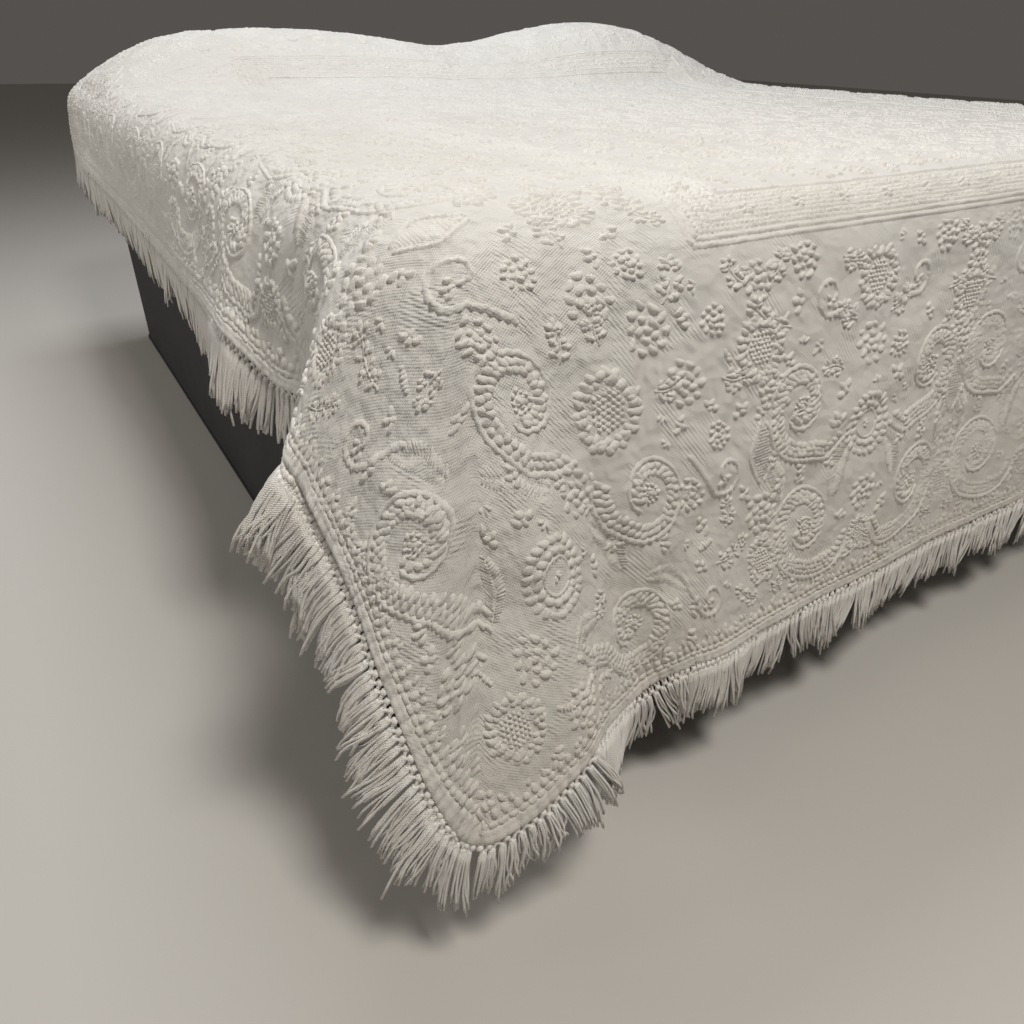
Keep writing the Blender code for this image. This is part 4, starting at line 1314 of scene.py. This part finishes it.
def make_hem_cord():
    """The folded edge: a flat band, drawn into blocks, that wraps the cloth's rim all the way round."""
    random = np.random.default_rng(61)
    path, inward, dented = hem_course(random)
    run = measured(path)[1]
    vary = random.normal(0, 1, (3, len(path)))
    fullness = 1.0 + HEM_SPREAD * vary[0] - (HEM_DENT + HEM_SPREAD * vary[1]) * dented
    wide = 1.0 + HEM_WAVER * vary[2] - HEM_PINCH * dented + HEM_WAVER * along_noise(run, 0.030, 9, 0.0)
    profile = np.array(HEM_PROFILE)
    flat = path[:, None, :] + inward[:, None, :] * (profile[None, :, 0, None] * wide[:, None, None])
    lift = profile[None, :, 1] * np.where(profile[None, :, 1] > 0, fullness[:, None], 1.0)
    number = np.arange(lift.size).reshape(lift.shape)
    hem = MeshParts()
    hem.add(on_cloth(flat[..., 0], flat[..., 1], lift), flat,
            ring_quads(number, np.roll(number, -1, axis=0))[:, ::-1])
    return hem.make("hem_edge", RAISED, "cotton")


# ------------------------------------------------------------------ fringe
BUNCH_PITCH = 0.0102
FRINGE_LENGTH = 0.076
YARNS = 6                        # in a bunch
YARN_RADIUS = 0.00182
YARN_STEPS = 6
YARN_SHARES = np.linspace(0, 1, YARN_STEPS + 1)
YARN_DROOP = 0.55                # how far the bunches turn from the hem's plane to straight down
CLUMP_SIZES = (2, 2, 3, 3, 4, 5)         # bunches that cling together
CLUMP_PULL = 0.18                # how far their ends are drawn together
CORNER_REACH = 0.055             # bunches this near the cloth's corner turn toward its tip
KNOT_ROWS = (0.0050, 0.0122)     # distance of the two rows of knots from the hem
KNOT_SIZE = (0.0040, 0.0031, 0.0026)     # half sizes: along the hem, downward and outward
KNOT_SIDES = 5
KNOT_GIRTH = (0.66, 1.0, 0.72)   # of a knot's rings, from its upper to its lower end
STRAND_RADIUS = 0.0019
LOOSE_SHARE = 0.10               # share of the bunches that let a yarn stray
LOOSE_REACH = (0.004, 0.012)     # least sideways reach of such a yarn, and what chance adds
LOOSE_LENGTH = 1.12              # its length, where a bunch's own yarns have 1
CORNER_TURN = 0.75               # how much of the tip's direction a bunch at the corner takes on
KNOT_JITTER = 0.0005
KNOT_TILT = 0.35
# How far the bunches stray: by long waves along the hem, by clump, and by themselves or all alike.
SWAY = (0.20, 0.12, 0.07)
LIFT = (0.10, 0.08, 0.09)
STRETCH = (0.08, 0.06)           # by clump and by themselves, like the bend
BEND = (0.0026, 0.0014)
BUNCH_HALF = 0.0036              # half a bunch's width at its knot, and how much wider its middle is
BUNCH_BELLY = 0.0016
BUNCH_DEPTHS = (0.0011, -0.0009)     # of its front and back yarns, outward from its middle
YARN_STRAY = (0.0019, 0.0015)    # how far a yarn's end strays, sideways and outward

Knots = namedtuple("Knots", "centre tangent fall outward hem onward")


def hem_axes(across, along, way):
    """Unit directions at hem points: along the hem, on past the cloth, and out of the cloth."""
    step = 0.006
    tangent = unit(drape(across + way[0] * step, along + way[1] * step)
                   - drape(across - way[0] * step, along - way[1] * step))
    inward = np.array([-way[1], way[0]]) * 0.02
    onward = drape(across, along) - drape(across + inward[0], along + inward[1])
    onward = unit(onward - tangent * np.sum(onward * tangent, axis=-1, keepdims=True))
    return tangent, onward, np.cross(tangent, onward)


def knot_mesh(centres, along_axis, down_axis, out_axis):
    """Small knots: rounded boxes with rings of points from their upper to their lower end."""
    along_size, down_size, out_size = KNOT_SIZE
    angles = 2 * math.pi * (np.arange(KNOT_SIDES) + 0.5) / KNOT_SIDES
    heights = np.linspace(-1, 1, len(KNOT_GIRTH))
    ring = (along_axis[:, None, None, :] * (np.cos(angles) * along_size)[None, None, :, None]
            + out_axis[:, None, None, :] * (np.sin(angles) * out_size)[None, None, :, None])
    points = centres[:, None, None, :] + ring * np.array(KNOT_GIRTH)[None, :, None, None]
    points = points + down_axis[:, None, None, :] * (heights * down_size)[None, :, None, None]
    number = np.arange(points.size // 3).reshape(points.shape[:3])
    return (points, np.zeros((points.size // 3, 2)), ring_quads(number[:, :-1], number[:, 1:]),
            number[:, 0, ::-1], number[:, -1])


class Bunches:
    """The hanging bunches of one fringe: where each leaves its knot and the way it goes."""

    def __init__(self, run, knots, seed):
        self.knots = knots
        random = np.random.default_rng(seed + 9)
        sizes = random.choice(CLUMP_SIZES, len(run))
        clump = np.repeat(np.arange(len(run)), sizes)[:len(run)]
        middle = np.bincount(clump, run) / np.maximum(np.bincount(clump), 1)
        of_clump = random.normal(0, 1, (4, len(run)))[:, clump]
        own = random.normal(0, 1, (3, len(run)))
        self.pull = (middle[clump] - run) * CLUMP_PULL
        self.sway = SWAY[0] * along_noise(run, 0.050, seed) + SWAY[1] * of_clump[0] + SWAY[2] * own[0]
        self.lift = LIFT[0] * along_noise(run, 0.060, seed + 2) + LIFT[1] * of_clump[1] + LIFT[2]
        stretch = (1 + STRETCH[0] * of_clump[2] + STRETCH[1] * own[1]).clip(0.76, 1.18)
        self.reach = (FRINGE_LENGTH - KNOT_ROWS[1]) * stretch
        self.bend = BEND[0] * of_clump[3] + BEND[1] * own[2]

    def path(self, side, depth, length, wave, turn):
        """Paths of one yarn in every bunch, given its sideways and outward place along the way."""
        tangent, outward = self.knots.tangent[:, None, :], self.knots.outward[:, None, :]
        share = YARN_SHARES
        droop = (YARN_DROOP * share ** 1.1)[None, :, None]
        way = self.knots.fall[:, None, :] * (1 - droop) + DOWN * droop
        lean = np.clip(share * 2.0, 0, 1)[None, :, None]
        way = way + tangent * (self.sway[:, None, None] * lean)
        way = unit(way + outward * (self.lift[:, None, None] * lean))
        step = (self.reach * length / YARN_STEPS)[:, None, None]
        run = np.concatenate([np.zeros_like(way[:, :1]), np.cumsum(way[:, :-1], axis=1)], axis=1) * step
        swing = (self.bend + wave)[:, None] * np.sin(share * 5.2 + turn)[None, :] * share[None, :]
        swing = swing + self.pull[:, None] * (share ** 1.3)[None, :]
        path = self.knots.centre[:, None, :] + run + tangent * (side + swing)[..., None]
        return path + outward * depth[..., None]


def tie_knots(parts, flat, way, depth, corners, random):
    """A row of knots that hang from points of the hem, turned toward the tip near a corner."""
    tangent, onward, outward = hem_axes(flat[:, 0], flat[:, 1], way)
    for corner in corners:
        inward = corner - np.array([math.copysign(0.02, corner[0] - BED_WIDTH / 2), -0.02])
        tip = unit(drape(corner[0], corner[1]) - drape(inward[0], inward[1]))
        near = np.exp(-(np.hypot(*(flat - corner).T) / CORNER_REACH) ** 2)[:, None] * CORNER_TURN
        onward = unit(onward * (1 - near) + (tip + 0.6 * DOWN) * near)
    level = 1 - np.clip(onward @ DOWN, 0, 1)[:, None]
    fall = unit(onward + (0.32 + 0.60 * level ** 2) * DOWN)
    hem = drape(flat[:, 0], flat[:, 1])
    centre = hem + fall * depth + random.normal(0, KNOT_JITTER, hem.shape)
    tilt = KNOT_TILT * random.normal(0, 1, (len(hem), 1))
    parts.add(*knot_mesh(centre, unit(tangent + fall * tilt), unit(fall - tangent * tilt), outward))
    return Knots(centre, tangent, fall, outward, hem, onward)


def tie_strands(parts, starts, ends, side_axis, sides):
    """Straight strands between two rows of points."""
    strands = np.stack([starts, ends], axis=1)
    parts.add(*tube_mesh(strands, side_axis[:, None, :], STRAND_RADIUS, sides, closed=False))


def hang_yarns(parts, bunches, random):
    """The yarns of every bunch, some in front and some behind, and the ones that stray."""
    tangent, share = bunches.knots.tangent, YARN_SHARES[None, :]
    total = len(tangent)
    radius = np.full((total, YARN_STEPS + 1), YARN_RADIUS)
    radius[:, -1] *= 0.85
    in_front = (YARNS + 1) // 2
    for yarn in range(YARNS):
        front = yarn < in_front
        place = (yarn + 0.5) / in_front if front else (yarn - in_front + 1) / (YARNS - in_front + 1)
        place = place * 2 - 1
        vary = random.normal(0, 1, (4, total))
        side = BUNCH_HALF * place + BUNCH_BELLY * place * np.sin(math.pi * share)
        side = side + (vary[0] * YARN_STRAY[0] + 0.0006 * place)[:, None] * share
        depth = BUNCH_DEPTHS[0 if front else 1] + (vary[1] * YARN_STRAY[1])[:, None] * share
        path = bunches.path(side, depth, 1 + 0.09 * vary[2], 0.0012 * vary[3], yarn * 1.1)
        parts.add(*tube_mesh(path, tangent[:, None, :], radius, 3))
    stray = random.random(total) < LOOSE_SHARE
    if stray.any():
        side = random.choice([-1, 1], total)[:, None]
        away = side * (LOOSE_REACH[0] + LOOSE_REACH[1] * random.random(total))[:, None]
        length = LOOSE_LENGTH + 0.1 * random.random(total)
        path = bunches.path(away * share ** 1.5, 0.003 + 0.004 * share + away * 0, length,
                            np.full(total, 0.003), 1.0)
        parts.add(*tube_mesh(path[stray], tangent[stray][:, None, :], radius[stray], 3))


def make_fringe(name, node, start, end, seed):
    """Knotted fringe along one hem; the cloth lies to the left of the way from start to end."""
    start, end = np.array(start, float), np.array(end, float)
    corners = [spot for spot in (start, end) if spot[1] < 0]
    length = np.hypot(*(end - start))
    way = (end - start) / length
    count = int(round(length / BUNCH_PITCH))
    pitch = length / count
    random = np.random.default_rng(seed)
    parts = MeshParts()
    upper_run = (np.arange(count) + 0.5) * pitch
    lower_run = (np.arange(count - 1) + 1.0) * pitch
    upper, lower = (tie_knots(parts, start + way * run[:, None], way, depth, corners, random)
                    for run, depth in zip((upper_run, lower_run), KNOT_ROWS))
    for side in (-1, 1):
        top = upper.hem + upper.tangent * side * 0.0022 - upper.onward * 0.002
        tie_strands(parts, top, upper.centre + upper.tangent * side * 0.0012, upper.tangent, sides=3)
        near = upper.centre[:-1] if side < 0 else upper.centre[1:]
        tie_strands(parts, near, lower.centre, lower.outward, sides=4)
    hang_yarns(parts, Bunches(lower_run, lower, seed), random)
    piece = parts.make(name, YARN, "yarn")
    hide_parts(node)
    return piece


# ------------------------------------------------------------------ the bed
# The mattress's side, from its lower edge up: height above its bottom, and distance outward.
MATTRESS_LEVELS = [
    (0.0, -0.055), (0.0, -0.022), (0.020, -0.006), (0.045, -0.002), (0.075, 0.002), (0.100, -0.001),
    (0.105, -0.004), (0.110, -0.001), (0.140, 0.002), (0.170, -0.002), (0.200, -0.010), (0.225, -0.024),
    (0.245, -0.045), (0.256, -0.066),
]
PILLOW_SEAM = 0.020          # height of a pillow's seam
PILLOW_UNDER_CLOTH = 0.008   # room between a pillow and the middle of the cloth over it
TICKING = woven_material("ticking", (0.62, 0.60, 0.56), (0.70, 0.68, 0.64), 0.0016, 0.0002)
PIPING = woven_material("piping", (0.52, 0.51, 0.48), (0.60, 0.58, 0.55), 0.0012, 0.0002)
PERCALE = woven_material("percale", (0.74, 0.73, 0.71), (0.80, 0.79, 0.77), 0.0010, 0.0001)
BASE_CLOTH = woven_material("base_cloth", (0.028, 0.028, 0.031), (0.045, 0.045, 0.049), 0.0030, 0.0006)


def rounded_outline(low, high, radius, inset, steps=10):
    """Plan outline of a slab with round corners, and the outward direction at each point."""
    points, ways = [], []
    corners = ((high[0], high[1], 0), (low[0], high[1], 90), (low[0], low[1], 180), (high[0], low[1], 270))
    for x, y, start in corners:
        middle_x = x - math.copysign(radius + inset, x)
        middle_y = y - math.copysign(radius + inset, y)
        for step in range(steps + 1):
            angle = math.radians(start + 90 * step / steps)
            points.append((middle_x + radius * math.cos(angle), middle_y + radius * math.sin(angle)))
            ways.append((math.cos(angle), math.sin(angle)))
    return np.array(points), np.array(ways)


def fill_outline(points, ways, spacing):
    """Adds points along the straight stretches of an outline, so that they can be shaped."""
    full_points, full_ways = [], []
    for i, point in enumerate(points):
        after = (i + 1) % len(points)
        span = np.hypot(*(points[after] - point))
        pieces = max(1, int(span / spacing))
        for n in range(pieces):
            t = n / pieces
            full_points.append(point * (1 - t) + points[after] * t)
            full_ways.append(ways[i] * (1 - t) + ways[after] * t)
    return np.array(full_points), unit(np.array(full_ways))


def cords_round(name, outline, heights_and_outs, radius, material, slot):
    """Cords that run all the way round an outline, each at its height and its distance outward."""
    points, ways = outline
    cords = MeshParts()
    for height, out in heights_and_outs:
        path = np.column_stack([points + ways * out, np.full(len(points), height)])
        path = np.concatenate([path, path[:1]])[None]
        cords.add(*tube_mesh(path, UP, radius, sides=8, closed=False))
    return cords.make(name, material, slot)


def make_mattress():
    """A mattress whose border bulges softly between stitched lines, and its piping."""
    low, high = mattress_low[2], mattress_high[2]
    points, ways = fill_outline(*rounded_outline(mattress_low, mattress_high, 0.088, 0.004), spacing=0.035)
    levels = [*MATTRESS_LEVELS, (high - low, -0.090)]
    rings = []
    for height, out in levels:
        shift = out + 0.0012 * np.sin(np.arange(len(points)) * 1.1 + height * 9) * (0.02 < height < 0.2)
        rings.append(np.column_stack([points + ways * np.reshape(shift, (-1, 1)),
                                      np.full(len(points), low + height)]))
    number = np.arange(len(levels) * len(points)).reshape(len(levels), len(points))
    under, over = number[0], number[-1]
    middles = np.full((2, len(points)), number.size) + [[0], [1]]
    ends = np.stack([np.roll(under, -1), under, middles[0], over, np.roll(over, -1), middles[1]], axis=-1)
    faces = ring_quads(number[:-1], number[1:]).tolist() + ends.reshape(-1, 3).tolist()
    piece = make_piece("mattress_body", np.concatenate(rings + [[[0, 0, low]], [[0, 0, high]]]), faces,
                       TICKING)
    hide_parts("mattress")
    cords_round("mattress_piping", (points, ways), [(low + 0.020, -0.001), (low + 0.200, -0.006)],
                0.0042, PIPING, "ticking")


def make_pillow(name, node):
    """A filled pillow in its case, creased toward its seam, inside the room its solid holds."""
    low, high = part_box(node)
    columns, rows = 44, 26
    middle = [(low[i] + high[i]) / 2 for i in range(3)]
    half = [(high[i] - low[i]) / 2 for i in range(3)]
    s, t = np.meshgrid(np.sin(np.pi / 2 * np.linspace(-1, 1, columns + 1)),
                       np.sin(np.pi / 2 * np.linspace(-1, 1, rows + 1)))
    x = middle[0] + half[0] * s * (1 - 0.03 * (1 - t * t) * s * s)
    y = middle[1] + half[1] * t * (1 - 0.035 * (1 - s * s) * t * t)
    full = np.sqrt(np.maximum(0.0, (1 - np.abs(s) ** 2.6) * (1 - np.abs(t) ** 2.4)))
    toward_seam = (1 - full) * full * 4
    ripple = 0.0022 * toward_seam * (np.sin(s * 23 + t * 3) + np.sin(t * 17 + s * 5))
    top = low[2] + PILLOW_SEAM + (2 * half[2] - PILLOW_SEAM) * full
    under_cloth = TOP_HEIGHT + pillow_rise(x + BED_WIDTH / 2, y + BED_LENGTH / 2) - PILLOW_UNDER_CLOTH
    top = np.minimum(top, under_cloth) + np.minimum(ripple, 0.0)
    base = low[2] + 0.0005 + PILLOW_SEAM * (1 - full) ** 2
    top = np.maximum(top, base)
    number = np.arange(x.size).reshape(x.shape)
    rim = np.ones_like(number, bool)
    rim[1:-1, 1:-1] = False
    under = grid_quads(np.where(rim, number, number + number.size))
    points = np.stack([np.stack([x, y, top], -1), np.stack([x, y, base], -1)]).reshape(-1, 3)
    faces = grid_quads(number).tolist() + under[:, ::-1].tolist()
    piece = make_piece(name, points, faces, PERCALE)
    shape = bmesh.new()
    shape.from_mesh(piece.data)
    loose = [vertex for vertex in shape.verts if not vertex.link_faces]
    bmesh.ops.delete(shape, geom=loose, context="VERTS")
    shape.to_mesh(piece.data)
    shape.free()
    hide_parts(node)


def dress_base():
    """The plain base keeps its solid; it gets cloth, and a welt near its top and its bottom."""
    base = bpy.data.objects[frame_object("bed_base")]
    base.data.materials.clear()
    base.data.materials.append(BASE_CLOTH)
    outline = fill_outline(*rounded_outline(bed_low, bed_high, 0.075, 0.0), spacing=0.05)
    cords_round("base_welt", outline, [(bed_high[2] - 0.016, 0.0005), (bed_low[2] + 0.012, 0.0005)],
                0.0036, BASE_CLOTH, "base_cover")


def frame_object(node):
    for item in bpy.data.objects:
        if item.get("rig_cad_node") == node or item.name == node:
            return item.name
    raise KeyError(node)


# ------------------------------------------------------------------ studio
Lamp = namedtuple("Lamp", "name place aim size power color")
LAMPS = [
    Lamp("room", (-0.10, 0.90, 3.10), (-0.10, 0.60, 0.6), 1.2, 44, (0.93, 0.96, 1.0)),
    Lamp("ceiling", (-0.70, -1.95, 2.70), (-0.60, -1.00, 0.5), 0.6, 41, (1.0, 0.965, 0.905)),
    Lamp("window", (-3.20, 0.60, 2.2), (-1.00, -0.30, 0.5), 1.8, 23, (1.0, 0.968, 0.905)),
]
FLOOR_HALF = 14.0
FLOOR_COLOR = (0.60, 0.575, 0.54, 1)
WORLD_COLOR = (1.0, 0.93, 0.85, 1)
WORLD_STRENGTH = 0.09


def make_floor():
    mesh = bpy.data.meshes.new("floor")
    corners = ((-1, -1), (1, -1), (1, 1), (-1, 1))
    mesh.from_pydata([(x * FLOOR_HALF, y * FLOOR_HALF, 0) for x, y in corners], [], [(0, 1, 2, 3)])
    floor = bpy.data.objects.new("floor", mesh)
    material, shader = new_material("floor_paint", roughness=0.85, sheen=0.0)
    shader.inputs["Base Color"].default_value = FLOOR_COLOR
    mesh.materials.append(material)
    bpy.context.scene.collection.objects.link(floor)


def make_lamp(lamp):
    light = bpy.data.lights.new(lamp.name, "AREA")
    light.size = lamp.size
    light.energy = lamp.power
    light.color = lamp.color
    item = bpy.data.objects.new(lamp.name, light)
    item.visible_camera = False
    item.location = lamp.place
    aim = Vector(lamp.aim) - Vector(lamp.place)
    item.rotation_euler = aim.to_track_quat("-Z", "Y").to_euler()
    bpy.context.scene.collection.objects.link(item)


def make_studio():
    make_floor()
    world = bpy.data.worlds.new("studio")
    bpy.context.scene.world = world
    world.use_nodes = True
    background = world.node_tree.nodes["Background"]
    background.inputs["Color"].default_value = WORLD_COLOR
    background.inputs["Strength"].default_value = WORLD_STRENGTH
    for lamp in LAMPS:
        make_lamp(lamp)
    bpy.context.scene.view_settings.view_transform = "Standard"


# ------------------------------------------------------------------ all of it
def main():
    sheet = make_sheet()
    relief = make_relief()
    edge = make_hem_cord()
    left, right, foot, head = -SIDE_DROP, BED_WIDTH + SIDE_DROP, -FOOT_DROP, BED_LENGTH
    fringes = [
        make_fringe("fringe_left_yarn", "fringe_left", (left, head - 0.004), (left, foot + 0.001), 41),
        make_fringe("fringe_foot_yarn", "fringe_foot", (left + 0.001, foot), (right - 0.001, foot), 51),
        make_fringe("fringe_right_yarn", "fringe_right", (right, foot + 0.001), (right, head - 0.004), 61),
    ]
    make_mattress()
    make_pillow("pillow_left_case", "pillow_left")
    make_pillow("pillow_right_case", "pillow_right")
    dress_base()
    make_studio()


main()
